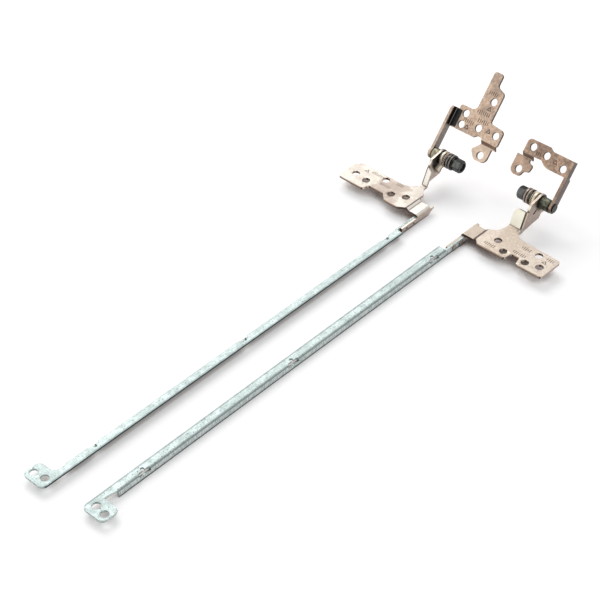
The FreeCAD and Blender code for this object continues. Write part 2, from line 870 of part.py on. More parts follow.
def make_tab_washer(side, level):
    """Ring held still by a tail whose peg stands in the lug's slot."""
    body = side.hinge_body("tab_washer")
    bottom, top = level
    side.disc(body, "2 * tab_washer_radius", bottom, top, ("0", "axis_height"))
    half = "tab_tail_width / 2"
    side.slab(body, [radial("0", "-" + half), radial("tab_tail_radius", "-" + half),
                     radial("tab_tail_radius", half), radial("0", half)], bottom, top)
    peg = "peg_width / 2"
    side.slab(body, [radial("peg_start", "-" + peg), radial("tab_tail_radius", "-" + peg),
                     radial("tab_tail_radius", peg), radial("peg_start", peg)],
              bottom, top + " + friction_thickness + 2 * seat_gap + peg_depth")
    side.bore(body, "2 * (stem_radius + running_play)", bottom, top, ("0", "axis_height"))
    return body


def make_spring(side, word, level, rim_lifted):
    """Disc spring; neighbours face opposite ways and touch at rim and bore in turn."""
    body = side.shaft_body(word)
    bottom, _ = level
    hole = "stem_radius + thread_play"
    rim_lift = "spring_rise" if rim_lifted else "0"
    bore_lift = "0" if rim_lifted else "spring_rise"
    side.turned(body, [
        (bottom + " + " + bore_lift, hole),
        (bottom + " + " + rim_lift, "spring_radius"),
        (bottom + " + " + rim_lift + " + spring_thickness", "spring_radius"),
        (bottom + " + " + bore_lift + " + spring_thickness", hole),
    ])
    return body


def make_nut(side, level):
    body = side.shaft_body("lock_nut")
    bottom, top = level
    corner = "nut_across_flats / sqrt(3)"
    hexagon = []
    for index in range(6):
        angle = "%d" % (60 * index)
        hexagon.append(("%s * cos(%s)" % (corner, angle), "%s * sin(%s)" % (corner, angle)))
    side.slab(body, hexagon, bottom, top)
    side.turned(body, [
        (bottom, "nut_across_flats / 2"),
        (bottom, "nut_across_flats"),
        (bottom + " + nut_chamfer", "nut_across_flats"),
        (bottom + " + nut_chamfer", corner),
    ], "PartDesign::Groove")
    side.bore(body, "2 * (stem_radius + thread_play)", bottom, top)
    return body


# Base bracket: arm on the shaft, screw plate and stepped-back tongue

def left_base_outline():
    """Left base plate in (u, s), s along the arm from the axis, with the radius of each corner."""
    outer = "left_arm_face + base_sheet"
    relief = "left_arm_face - left_bend_relief"
    top = "left_arm_length + left_base_rise"
    return [
        (outer, "left_arm_length", None),
        (relief, "left_arm_length", None),
        (relief, top, "base_corner"),
        ("left_finger_outboard", top, "finger_hollow"),
        ("left_finger_outboard", "left_finger_top", "finger_round"),
        ("left_finger_inboard", "left_finger_top", "finger_round"),
        ("left_finger_inboard", "left_shoulder_top", "shoulder_hollow"),
        ("left_shoulder_across", "left_shoulder_low", "plate_round"),
        ("left_shoulder_across", "left_ear_root", "base_corner"),
        ("left_ear_across", "left_ear_top", "plate_round"),
        ("left_ear_across", "left_ear_low", "base_corner"),
        ("left_step_inboard", "left_base_bottom + left_step_rise", "base_corner"),
        ("left_step_outboard", "left_base_bottom", "base_corner"),
        (outer, "left_base_bottom", None),
    ]


def right_base_outline():
    """Right base plate, in the same form as the left one."""
    outer = "right_arm_face + base_sheet"
    return [
        (outer, "right_arm_length", None),
        ("right_rise_outboard", "right_arm_length", "base_corner"),
        ("right_rise_inboard", "right_rise_top", "base_corner"),
        ("right_end_across", "right_end_top", "plate_round"),
        ("right_end_across", "right_end_low", "base_corner"),
        ("right_step_inboard", "right_step_top", "base_corner"),
        ("right_step_middle", "right_step_low", "base_corner"),
        ("right_step_outboard", "right_base_bottom", "base_corner"),
        (outer, "right_base_bottom", None),
    ]


def left_tongue_outline():
    """Left screw tongue, round at its end, with a thumb on its outboard side."""
    return [
        ("left_tongue_outboard", "left_tongue_top", None),
        ("left_thumb_root_across", "left_thumb_root_along", "thumb_round"),
        ("left_thumb_top_across", "left_thumb_top_along", "thumb_round"),
        ("left_thumb_low_across", "left_thumb_low_along", "thumb_round"),
        ("left_tongue_heel", "left_tongue_end", "tongue_round"),
        ("left_tongue_inboard", "left_tongue_end", "tongue_round"),
        ("left_tongue_inboard", "left_tongue_top", None),
    ]


def right_tongue_outline():
    """Right screw tongue, whose thumb stands further out."""
    return [
        ("right_tongue_inboard", "right_tongue_top", None),
        ("right_tongue_inboard", "right_tongue_end", "tongue_round"),
        ("right_tongue_heel", "right_tongue_end", "plate_round"),
        ("right_thumb_foot_across", "right_thumb_foot_along", "thumb_round"),
        ("right_thumb_low_across", "right_thumb_low_along", "base_corner"),
        ("right_thumb_top_across", "right_thumb_top_along", "base_corner"),
        ("right_thumb_root_across", "right_thumb_root_along", "thumb_round"),
        ("right_tongue_outboard", "right_tongue_top", None),
    ]


def rounded_plate(side, body, corners, bottom, top):
    """Sheet from a bound outline whose corners each carry their own radius."""
    sketch = sketch_on(body, "XY_Plane", bottom)
    outline(sketch, side.flat([(across, along) for across, along, _ in corners]))
    pad(body, sketch, "base_sheet")
    for radius in sorted({radius for _, _, radius in corners if radius}):
        same = [(across, along) for across, along, own in corners if own == radius]
        round_corners(body, side.flat(same), radius, (bottom, top))


def make_base_bracket(side):
    body = side.shaft_body("base_bracket")
    arm = side.label("arm_face")
    arm_outer = arm + " + base_sheet"
    length = side.label("arm_length")
    plate_front = "-arm_back + base_sheet"
    base_outline = left_base_outline if side is LEFT else right_base_outline
    rounded_plate(side, body, base_outline(), "-arm_back", plate_front)

    bottom = side.label("base_bottom")
    side.slab(body, [
        (bottom, "-arm_back"),
        (length, "-arm_back"),
        (length, "arm_front - arm_corner"),
        (length + " - arm_corner", "arm_front"),
        (bottom, "arm_front"),
    ], arm, arm_outer)
    outer_x = number(side.u(arm_outer))
    inner_x = number(side.u(arm))
    round_edges(body, lambda p: abs(p.x - outer_x) < TOUCH and near(p.z, "-arm_back"), "base_bend")
    round_edges(body, lambda p: abs(p.x - inner_x) < TOUCH and near(p.z, plate_front),
                "base_inner_bend")
    side.slab(body, [
        ("0", "-arm_back"),
        (bottom, "-arm_back"),
        (bottom, "arm_front"),
        ("0", "arm_front"),
    ], arm, arm_outer)
    side.disc(body, "2 * arm_end_radius", arm, arm_outer)
    side.bore(body, "2 * tail_radius", arm, arm_outer)

    tongue_front = plate_front + " - tongue_step"
    tongue_back = tongue_front + " - base_sheet"
    tongue_outline = left_tongue_outline if side is LEFT else right_tongue_outline
    rounded_plate(side, body, tongue_outline(), tongue_back, tongue_front)
    bend_low = side.label("tongue_top")
    bend_high = bend_low + " + tongue_joggle"
    side.slab(body, [
        (bend_low, tongue_back),
        (bend_high, "-arm_back"),
        (bend_high + " + joggle_lap", "-arm_back"),
        (bend_high + " + joggle_lap", plate_front),
        (bend_high, plate_front),
        (bend_low, tongue_front),
        (bend_low + " - joggle_lap", tongue_front),
        (bend_low + " - joggle_lap", tongue_back),
    ], side.label("tongue_bend_inboard"), side.label("tongue_bend_outboard"))
    holes = hole_places(side, "base", "along")
    holes_down(body, side, holes, "base_hole", plate_front, "base_sheet")
    tongue_hole = side.label("tongue_hole_")
    holes_down(body, side, [(tongue_hole + "across", tongue_hole + "along")],
               "base_hole", tongue_front, "base_sheet")
    return body


def make_tape(side):
    """Thin tape folded into the inside corner of arm and base plate."""
    body = side.shaft_body("insulating_tape")
    arm = side.label("arm_face")
    plate_front = "-arm_back + base_sheet"
    start = side.label("base_bottom") + " + tape_start_inset"
    end = side.label("arm_length") + " - tape_end_inset"
    section = sketch_on(body, "XZ_Plane", "-(%s)" % end)
    outline(section, side.flat([
        (arm, "arm_front - tape_edge"),
        (arm, plate_front + " + base_inner_bend"),
        (arm + " - base_inner_bend", plate_front),
        (arm + " - tape_width", plate_front),
        (arm + " - tape_width", plate_front + " + tape"),
        (arm + " - base_inner_bend - tape / 2", plate_front + " + tape"),
        (arm + " - tape", plate_front + " + base_inner_bend + tape / 2"),
        (arm + " - tape", "arm_front - tape_edge"),
    ]))
    pad(body, section, "(%s) - (%s)" % (end, start))
    return body


def make_hinge(side):
    levels = stack_levels(side)
    bodies = [make_rail(side), make_display_bracket(side), make_shaft(side, levels)]
    bodies.append(make_washer(side, "friction_washer", "friction_radius", levels["friction_washer"]))
    bodies.append(make_tab_washer(side, levels["tab_washer"]))
    bodies.append(make_washer(side, "bronze_washer", "bronze_radius", levels["bronze_washer"]))
    bodies.append(make_washer(side, "backing_washer", "backing_radius", levels["backing_washer"]))
    springs = [word for word in levels if word.startswith("disc_spring")]
    for index, word in enumerate(springs):
        bodies.append(make_spring(side, word, levels[word], index % 2 == 1))
    bodies.append(make_washer(side, "end_washer", "end_washer_radius", levels["end_washer"]))
    bodies.append(make_nut(side, levels["lock_nut"]))
    bodies.append(make_base_bracket(side))
    return bodies


nodes = []
for hinge_side in SIDES:
    nodes += make_hinge(hinge_side)
nodes.append(make_tape(LEFT))
doc.recompute()

# Checks before writing

for item in doc.Objects:
    if "Invalid" in item.State or "Error" in item.State:
        raise RuntimeError("bad state: " + item.Label)
for node in nodes:
    if node.Shape.isNull() or not node.Shape.isValid():
        raise RuntimeError("bad shape: " + node.Label)
    if len(node.Shape.Solids) != 1:
        raise RuntimeError("not one solid: " + node.Label)

os.makedirs("parts", exist_ok=True)
for node in nodes:
    node.Shape.exportStep("parts/" + node.Label + ".step")
print("nodes", len(nodes))
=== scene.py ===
import json
import math
from collections import namedtuple

import bmesh
import bpy
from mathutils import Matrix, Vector


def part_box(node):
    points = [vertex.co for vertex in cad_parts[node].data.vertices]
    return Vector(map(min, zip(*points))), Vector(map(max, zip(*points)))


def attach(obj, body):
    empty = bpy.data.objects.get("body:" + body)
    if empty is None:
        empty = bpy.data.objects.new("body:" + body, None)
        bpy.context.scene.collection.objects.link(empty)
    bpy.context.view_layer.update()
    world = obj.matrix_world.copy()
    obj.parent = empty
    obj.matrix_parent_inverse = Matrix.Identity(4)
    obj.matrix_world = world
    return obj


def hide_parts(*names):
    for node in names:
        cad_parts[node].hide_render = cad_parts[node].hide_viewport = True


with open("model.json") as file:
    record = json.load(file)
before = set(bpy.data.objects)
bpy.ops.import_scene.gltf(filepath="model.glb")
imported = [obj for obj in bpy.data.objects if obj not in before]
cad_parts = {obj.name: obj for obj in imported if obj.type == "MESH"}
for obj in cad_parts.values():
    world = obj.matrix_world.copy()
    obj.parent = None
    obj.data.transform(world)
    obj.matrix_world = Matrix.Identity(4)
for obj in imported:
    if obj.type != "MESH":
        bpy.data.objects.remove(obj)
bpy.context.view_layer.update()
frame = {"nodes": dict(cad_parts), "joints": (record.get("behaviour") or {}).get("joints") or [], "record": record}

MM = 0.001
NODES = frame["nodes"]
SIDES = ("left", "right")
OUTBOARD = {"left": -1.0, "right": 1.0}
AXIS = {side: Vector(joint["pos_m"]) for side, joint in zip(SIDES, frame["joints"])}

# Directions of a base bracket at rest: along its arm, and out of its plate
REST_ANGLE = math.radians(50)
ALONG_ARM = Vector((0.0, math.cos(REST_ANGLE), math.sin(REST_ANGLE)))
OUT_OF_PLATE = Vector((0.0, -math.sin(REST_ANGLE), math.cos(REST_ANGLE)))
FACE_ALONG_X = (1.0, 0.0, 0.0)
FACE_UP = (0.0, 0.0, 1.0)

# Sizes of the brackets, rails and washers that the finishes and the details follow
PLATE_TOP = 5.1 * MM
PLATE_SET_BACK = 0.9 * MM
JOGGLE_END = {"left": 3.6 * MM, "right": 4.9 * MM}
JOGGLE_RUN = 1.3 * MM
FLANGE_REACH = 3.9 * MM
ARM_DEPTH = 1.5 * MM
TONGUE_TOP = 13.0 * MM
KNURL_DEPTH = 0.24 * MM


def arm_outside(side):
    """Distance of an arm's outer face from the middle of the pair."""
    return max(abs(corner[0]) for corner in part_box(side + "_base_bracket"))


def rim_radius(node):
    """Radius of a round piece on a shaft."""
    low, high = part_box(node)
    return (high[2] - low[2]) / 2


# Camera: where the photograph was taken from, aimed at the floor between the rails

AIM = Vector((-12.65, 5.63, 0.0)) * MM
CAMERA_AZIMUTH = math.radians(-42.5524)
CAMERA_ELEVATION = math.radians(40.5865)
CAMERA_DISTANCE = 683.5 * MM
LENS_MM = 108.0
SENSOR_MM = 36.0
CLIP_START = 10 * MM


def make_camera():
    """Camera on a sphere round the aim point; azimuth is turned from the -Y direction."""
    flat = math.cos(CAMERA_ELEVATION)
    outward = Vector((
        -math.sin(CAMERA_AZIMUTH) * flat,
        -math.cos(CAMERA_AZIMUTH) * flat,
        math.sin(CAMERA_ELEVATION)))
    data = bpy.data.cameras.new("camera")
    data.lens = LENS_MM
    data.sensor_width = SENSOR_MM
    data.clip_start = CLIP_START
    camera = bpy.data.objects.new("camera", data)
    camera.location = AIM + outward * CAMERA_DISTANCE
    camera.rotation_euler = (-outward).to_track_quat("-Z", "Y").to_euler()
    bpy.context.collection.objects.link(camera)
    bpy.context.scene.camera = camera


# Colours and patterns

SCREEN_WHITE = 255
SCREEN_TOE = 0.04045
SCREEN_TOE_SLOPE = 12.92
SCREEN_LIFT = 0.055
SCREEN_POWER = 2.4


def srgb(red, green, blue):
    """Linear colour for the 0 to 255 values that a screen shows."""
    def linear(value):
        part = value / SCREEN_WHITE
        if part <= SCREEN_TOE:
            return part / SCREEN_TOE_SLOPE
        return ((part + SCREEN_LIFT) / (1 + SCREEN_LIFT)) ** SCREEN_POWER
    return (linear(red), linear(green), linear(blue), 1.0)


def grey(level):
    """Linear grey."""
    return (level, level, level, 1.0)


# A colour, and the share of it that shows where it is laid
Tone = namedtuple("Tone", "colour share", defaults=(1.0,))

# A cloudy pattern: size of its features, detail, the values where it turns from 0 to 1, and stretch
Cloud = namedtuple("Cloud", "size detail low high stretch", defaults=(0.0, 1.0, None))

# A surface: bump height, one roughness or those at a pattern's 0 and 1, metal share, reach of the painted
# highlights and shade along edges and of the painted shade in gaps
Sheen = namedtuple("Sheen", "bump roughness metallic edge gap", defaults=(0.0, 0.0))


# Shader helpers

# Places of the colour sockets of a mix node
MIX_FIRST = 6
MIX_SECOND = 7
MIX_RESULT = 2


class Graph:
    """Adds and joins shader nodes in one node tree."""

    def __init__(self, tree):
        self.tree = tree

    def add(self, kind, **settings):
        node = self.tree.nodes.new(kind)
        for name, value in settings.items():
            setattr(node, name, value)
        return node

    def put(self, socket, value):
        """Link a socket to another one, or set its own value."""
        if isinstance(value, bpy.types.NodeSocket):
            self.tree.links.new(value, socket)
        else:
            socket.default_value = value

    def step(self, value, low, high):
        """0 below low, 1 above high and smooth between them."""
        node = self.add("ShaderNodeMapRange", interpolation_type="SMOOTHSTEP")
        self.put(node.inputs["Value"], value)
        node.inputs["From Min"].default_value = low
        node.inputs["From Max"].default_value = high
        return node.outputs["Result"]

    def below(self, value, low, high):
        """1 below low, 0 above high and smooth between them."""
        return self.without(self.step(value, low, high))

    def band(self, value, rise, fall):
        """1 between a rise and a fall, each given by its start and end."""
        return self.both(self.step(value, *rise), self.below(value, *fall))

    def scale(self, value, low, high):
        """A 0 to 1 value spread between two others."""
        node = self.add("ShaderNodeMapRange")
        self.put(node.inputs["Value"], value)
        node.inputs["To Min"].default_value = low
        node.inputs["To Max"].default_value = high
        return node.outputs["Result"]

    def math(self, operation, first, second=0.0):
        node = self.add("ShaderNodeMath", operation=operation)
        self.put(node.inputs[0], first)
        self.put(node.inputs[1], second)
        return node.outputs[0]

    def both(self, first, second):
        return self.math("MULTIPLY", first, second)

    def without(self, value):
        return self.math("SUBTRACT", 1.0, value)

    def mix(self, factor, first, second):
        """The first colour where the factor is 0, the second where it is 1."""
        node = self.add("ShaderNodeMix", data_type="RGBA")
        self.put(node.inputs["Factor"], factor)
        self.put(node.inputs[MIX_FIRST], first)
        self.put(node.inputs[MIX_SECOND], second)
        return node.outputs[MIX_RESULT]

    def lay(self, base, mask, tone):
        """A colour with a tone laid over it where the mask is 1."""
        factor = mask if tone.share == 1.0 else self.scale(mask, 0.0, tone.share)
        return self.mix(factor, base, tone.colour)

    def dot(self, vector, direction):
        node = self.add("ShaderNodeVectorMath", operation="DOT_PRODUCT")
        self.put(node.inputs[0], vector)
        self.put(node.inputs[1], direction)
        return node.outputs["Value"]

    def split(self, vector):
        node = self.add("ShaderNodeSeparateXYZ")
        self.put(node.inputs[0], vector)
        return node.outputs


GRAIN = Cloud(1.0 * MM, 3.0)
DARK_GRAIN = (0.52, 0.64)
PALE_GRAIN = (0.36, 0.48)
EDGE_SAMPLES = 6
EDGE_TURN = (0.02, 0.30)
GAP_SAMPLES = 8
TURNING_RADIUS = 3 * MM
BUMP_STRENGTH = 0.5


class Finish(Graph):
    """One material: patterns in the object's own coordinates, in metres."""

    def __init__(self, name):
        self.material = bpy.data.materials.new(name)
        self.material.use_nodes = True
        super().__init__(self.material.node_tree)
        self.shader = self.tree.nodes["Principled BSDF"]
        coordinates = self.add("ShaderNodeTexCoord")
        self.place = coordinates.outputs["Object"]
        self.facing = coordinates.outputs["Normal"]
        self.across, self.along, self.up = self.split(self.place)

    def stretched(self, across, along, up):
        """Coordinates scaled unevenly, for streaks."""
        node = self.add("ShaderNodeVectorMath", operation="MULTIPLY")
        self.put(node.inputs[0], self.place)
        node.inputs[1].default_value = (across, along, up)
        return node.outputs["Vector"]

    def noise(self, cloud, vector=None):
        """A cloudy pattern as it comes."""
        if cloud.stretch:
            vector = self.stretched(*cloud.stretch)
        node = self.add("ShaderNodeTexNoise")
        self.put(node.inputs["Vector"], vector or self.place)
        node.inputs["Scale"].default_value = 1 / cloud.size
        node.inputs["Detail"].default_value = cloud.detail
        return node.outputs["Fac"]

    def high(self, pattern, cloud):
        """1 at the high places of a cloudy pattern, 0 at the low ones."""
        return self.step(pattern, cloud.low, cloud.high)

    def clouds(self, cloud):
        return self.high(self.noise(cloud), cloud)

    def cells(self, size, stretch):
        """One random grey for each crystal of about the given size."""
        node = self.add("ShaderNodeTexVoronoi")
        self.put(node.inputs["Vector"], self.stretched(*stretch))
        node.inputs["Scale"].default_value = 1 / size
        brightness = self.add("ShaderNodeRGBToBW")
        self.put(brightness.inputs[0], node.outputs["Color"])
        return brightness.outputs[0]

    def flecks(self, base, dark, pale, share):
        """Add dark and pale grains to a colour."""
        grain = self.noise(GRAIN)
        base = self.lay(base, self.step(grain, *DARK_GRAIN), Tone(dark, share))
        return self.lay(base, self.below(grain, *PALE_GRAIN), Tone(pale, share))

    def edges(self, radius):
        """1 along sharp edges, fading within a radius of them; painted highlights and shade go there."""
        bevel = self.add("ShaderNodeBevel", samples=EDGE_SAMPLES)
        bevel.inputs["Radius"].default_value = radius
        geometry = self.add("ShaderNodeNewGeometry")
        turn = self.dot(bevel.outputs["Normal"], geometry.outputs["Normal"])
        return self.step(self.without(turn), *EDGE_TURN)

    def gaps(self, reach):
        """1 deep in a gap or corner, 0 in the open; painted shade and shadow go there."""
        node = self.add("ShaderNodeAmbientOcclusion", samples=GAP_SAMPLES)
        node.inputs["Distance"].default_value = reach
        return self.without(node.outputs["AO"])

    def toward(self, direction):
        """How far a surface faces along a direction or against it, 0 to 1."""
        return self.math("ABSOLUTE", self.dot(self.facing, tuple(direction)))

    def from_middle(self):
        """Distance from the middle of the pair."""
        return self.math("ABSOLUTE", self.across)

    def outboard(self, side):
        """Distance outboard of one hinge's joint."""
        return self.both(self.math("SUBTRACT", self.across, AXIS[side].x), OUTBOARD[side])

    def off_axis(self, side):
        """Distances from one hinge's shaft axis, along y and up."""
        along = self.math("SUBTRACT", self.along, AXIS[side].y)
        up = self.math("SUBTRACT", self.up, AXIS[side].z)
        return along, up

    def from_axis(self, side):
        """Distance from one hinge's shaft axis."""
        along, up = self.off_axis(side)
        squares = self.math("ADD", self.both(along, along), self.both(up, up))
        return self.math("SQRT", squares)

    def round_axis(self, side):
        """Coordinates along the shaft and round it, for marks on turned faces."""
        along, up = self.off_axis(side)
        node = self.add("ShaderNodeCombineXYZ")
        self.put(node.inputs[0], self.across)
        self.put(node.inputs[1], self.both(self.math("ARCTAN2", along, up), TURNING_RADIUS))
        return node.outputs[0]

    def bump(self, height, sheen):
        node = self.add("ShaderNodeBump")
        self.put(node.inputs["Height"], height)
        node.inputs["Distance"].default_value = sheen.bump
        node.inputs["Strength"].default_value = BUMP_STRENGTH
        self.put(self.shader.inputs["Normal"], node.outputs["Normal"])

    def finish(self, colour, sheen, pattern=None):
        """Set the shader; the roughness follows a pattern if one is given."""
        roughness = sheen.roughness if pattern is None else self.scale(pattern, *sheen.roughness)
        self.put(self.shader.inputs["Base Color"], colour)
        self.put(self.shader.inputs["Roughness"], roughness)
        self.shader.inputs["Metallic"].default_value = sheen.metallic
        return self.material


# Zinc plating of the rails

ZINC_CLOUD = Cloud(4.0 * MM, 6.0, 0.36, 0.64)
ZINC_STREAK = Cloud(0.35 * MM, 3.0, 0.52, 0.66, stretch=(0.35, 1.0, 1.0))
ZINC_PITS = Cloud(0.6 * MM, 2.0, 0.64, 0.71)
ZINC_RIBS = Cloud(0.3 * MM, 2.0, 0.42, 0.60, stretch=(1.0, 1.0, 0.12))
CRYSTAL_SIZE = 0.8 * MM
CRYSTAL_STRETCH = (1.0, 0.6, 1.0)
CRYSTAL_HEIGHT = 0.4
ZINC_PLAIN = (srgb(206, 220, 217), srgb(217, 230, 227))
# Web ribs, painted lighter than the rest of the zinc as if lit
LIT_WEB_RIBS = (srgb(196, 212, 210), srgb(246, 252, 250))
# Crystals, streaks and pits are the zinc's own; the other tones are painted shade at the web's foot, on the fold,
# on the flange's sheared edge, along its rim, along edges and in gaps
ZINC = {
    "crystal": Tone(srgb(166, 182, 180), 0.55),
    "streak": Tone(srgb(136, 153, 152), 0.6),
    "pit": Tone(srgb(74, 88, 90)),
    "web_foot_shade": Tone(srgb(78, 92, 92)),
    "fold": Tone(srgb(146, 162, 161), 0.7),
    "cut": Tone(srgb(62, 76, 77)),
    "rim": Tone(srgb(120, 136, 135), 0.6),
    "edge": Tone(srgb(92, 108, 108), 0.7),
    "gap": Tone(srgb(34, 40, 42), 0.9),
}
ZINC_SHEEN = Sheen(bump=0.03 * MM, roughness=(0.58, 0.48), metallic=0.35, edge=0.35 * MM, gap=1.2 * MM)

# How far the web faces along x, and the fold and the flange face up
WEB_FACE = (0.80, 0.97)
FOLD_FACE = ((0.20, 0.40), (0.70, 0.90))
FLANGE_FACE = (0.60, 0.80)
WEB_FOOT = 0.7 * MM
FLANGE_RIM = 0.35 * MM


def zinc(side):
    """Pale zinc plating with crystals, rolling streaks and pinholes."""
    g = Finish(side + "_zinc")
    cloud = g.clouds(ZINC_CLOUD)
    crystal = g.cells(CRYSTAL_SIZE, CRYSTAL_STRETCH)
    streak = g.noise(ZINC_STREAK)
    base = g.mix(cloud, *ZINC_PLAIN)
    base = g.lay(base, crystal, ZINC["crystal"])
    base = g.lay(base, g.high(streak, ZINC_STREAK), ZINC["streak"])
    base = g.lay(base, g.clouds(ZINC_PITS), ZINC["pit"])
    base = rail_lines(g, side, base)
    # Painted shade along the edges and in the gaps
    base = g.lay(base, g.edges(ZINC_SHEEN.edge), ZINC["edge"])
    base = g.lay(base, g.gaps(ZINC_SHEEN.gap), ZINC["gap"])
    g.bump(g.math("ADD", g.both(crystal, CRYSTAL_HEIGHT), streak), ZINC_SHEEN)
    return g.finish(base, ZINC_SHEEN, cloud)


def rail_lines(g, side, base):
    """Ribbed web painted lighter as if lit, with painted shade at its foot, on the fold, on the flange's sheared
    edge and along its rim.
    """
    web = g.step(g.toward(FACE_ALONG_X), *WEB_FACE)
    facing_up = g.toward(FACE_UP)
    from_middle = g.from_middle()
    inner_edge = abs(AXIS[side].x) - FLANGE_REACH
    base = g.mix(web, base, g.mix(g.clouds(ZINC_RIBS), *LIT_WEB_RIBS))
    base = g.lay(base, g.both(web, g.below(g.up, WEB_FOOT / 2, WEB_FOOT)), ZINC["web_foot_shade"])
    base = g.lay(base, g.band(facing_up, *FOLD_FACE), ZINC["fold"])
    cut = g.both(web, g.math("LESS_THAN", from_middle, inner_edge))
    base = g.lay(base, cut, ZINC["cut"])
    rim = g.below(from_middle, inner_edge, inner_edge + FLANGE_RIM)
    return g.lay(base, g.both(rim, g.step(facing_up, *FLANGE_FACE)), ZINC["rim"])


# Nickel plating of the display brackets

# Plate and its worn places, dull patch, neck painted pale as lit, lug painted darker as shade and its worn places,
# painted highlight on the crest of its fold, joggled strip
DISPLAY_TONES = {
    "left": {"plate": srgb(209, 203, 193), "worn": srgb(200, 192, 181), "patch": srgb(166, 150, 138),
             "neck": srgb(254, 248, 238), "lug": srgb(180, 164, 152), "lug_worn": srgb(224, 208, 194),
             "crest_highlight": srgb(244, 224, 206), "strip": srgb(224, 221, 213)},
    "right": {"plate": srgb(211, 200, 187), "worn": srgb(202, 189, 175), "patch": srgb(190, 174, 158),
              "neck": srgb(254, 250, 232), "lug": srgb(178, 160, 150), "lug_worn": srgb(196, 178, 164),
              "crest_highlight": srgb(206, 198, 188), "strip": srgb(172, 158, 144)},
}
DISPLAY_SHARES = {"patch": 0.9, "fine": 0.55, "brushing": 0.20, "strip": 0.6}
DISPLAY_FLECKS = {"left": 0.20, "right": 0.70}
# Bends painted dark as shade, and near white as lit where they turn sideways
BEND_SHADE_AND_LIGHT = (srgb(140, 118, 102), srgb(255, 250, 242))
# Sheared faces, and the painted shadow along their lower part
CUT_TONE_AND_SHADOW = (srgb(176, 152, 132), srgb(84, 66, 56))
# Painted highlight on the lug's crest above the plate
HIGH_CREST_HIGHLIGHT = srgb(246, 226, 206)
# Painted shade along the bends of the joggle
JOGGLE_SHADE = srgb(92, 76, 66)
JOGGLE_LIGHT_SHADE = srgb(168, 156, 146)
# Painted shade along plate edges, on the lug's fold, round the shaft, along steep edges and in gaps
NICKEL = {
    "plate_edge_shade": Tone(srgb(150, 132, 118), 0.5),
    "fold": Tone(srgb(64, 50, 40), 0.9),
    "shaft_shade": Tone(srgb(34, 28, 24), 0.9),
    "steep_edge_shade": Tone(srgb(110, 88, 74), 0.4),
    "gap": Tone(srgb(46, 36, 30), 0.8),
}
NICKEL_SHEEN = Sheen(bump=0.02 * MM, roughness=(0.48, 0.38), metallic=0.6, edge=0.25 * MM, gap=1.6 * MM)
NICKEL_CLOUD = Cloud(5.0 * MM, 5.0, 0.36, 0.66)
NICKEL_FINE = Cloud(0.45 * MM, 4.0, 0.50, 0.72)
NICKEL_BRUSHING = Cloud(0.20 * MM, 3.0, stretch=(0.12, 1.0, 1.0))

# The dull patch lies between two distances outboard, and its borders wander
DULL_PATCH = (10.0 * MM, 23.0 * MM)
PATCH_SOFT = 1.2 * MM
PATCH_WANDER = Cloud(2.5 * MM, 4.0)
PATCH_WANDER_MIDDLE = 0.5
PATCH_WANDER_REACH = 10 * MM

# How far each kind of face looks up
LEVEL_FACE = (0.62, 0.75)
FLAT_FACE = (0.86, 0.95)
NECK_FACE = ((0.25, 0.38), (0.48, 0.62))
STEEP_FACE = (0.40, 0.55)

# How far each kind of face looks along x
SIDEWAYS_BEND = (0.20, 0.35)
LUG_FOLD = ((0.12, 0.25), (0.55, 0.70))
LUG_CREST = ((0.60, 0.72), (0.94, 0.98))
LUG_FACE = (0.95, 0.99)

LINE_WIDTH = 0.28 * MM
SHADOW_LINE = (PLATE_TOP - 0.80 * MM, PLATE_TOP - 0.50 * MM)
CREST_RISE = (PLATE_TOP, PLATE_TOP + 1.0 * MM)
LUG_WEAR = (0.40, 0.66)
# How far the painted shade round each shaft reaches, and how it fades
SHAFT_SHADE_REACH = {"left": 7.5 * MM, "right": 4.6 * MM}
SHAFT_SHADE_FADE = 2 * MM


def nickel(side):
    """Satin nickel over rolled steel, with a dull patch on the plate."""
    tones = DISPLAY_TONES[side]
    g = Finish(side + "_nickel")
    cloud = g.clouds(NICKEL_CLOUD)
    fine = g.noise(NICKEL_FINE)
    brushing = g.noise(NICKEL_BRUSHING)
    edge = g.edges(NICKEL_SHEEN.edge)
    base = g.mix(cloud, tones["worn"], tones["plate"])
    base = g.lay(base, dull_patch(g, side), Tone(tones["patch"], DISPLAY_SHARES["patch"]))
    base = g.lay(base, g.high(fine, NICKEL_FINE), Tone(tones["patch"], DISPLAY_SHARES["fine"]))
    base = g.lay(base, brushing, Tone(tones["worn"], DISPLAY_SHARES["brushing"]))
    base = g.flecks(base, tones["patch"], tones["plate"], DISPLAY_FLECKS[side])
    base = level_faces(g, side, base, edge)
    base = neck_and_folds(g, side, base)
    base = lug_faces(g, side, base, fine, edge)
    # Painted shade in the gaps
    base = g.lay(base, g.gaps(NICKEL_SHEEN.gap), NICKEL["gap"])
    g.bump(g.math("ADD", fine, brushing), NICKEL_SHEEN)
    return g.finish(base, NICKEL_SHEEN, cloud)


def dull_patch(g, side):
    """Mask of the dull patch across a display plate."""
    wander = g.math("SUBTRACT", g.noise(PATCH_WANDER), PATCH_WANDER_MIDDLE)
    place = g.math("ADD", g.outboard(side), g.both(wander, PATCH_WANDER_REACH))
    start, end = DULL_PATCH
    return g.band(place, (start - PATCH_SOFT, start + PATCH_SOFT), (end - PATCH_SOFT, end + PATCH_SOFT))


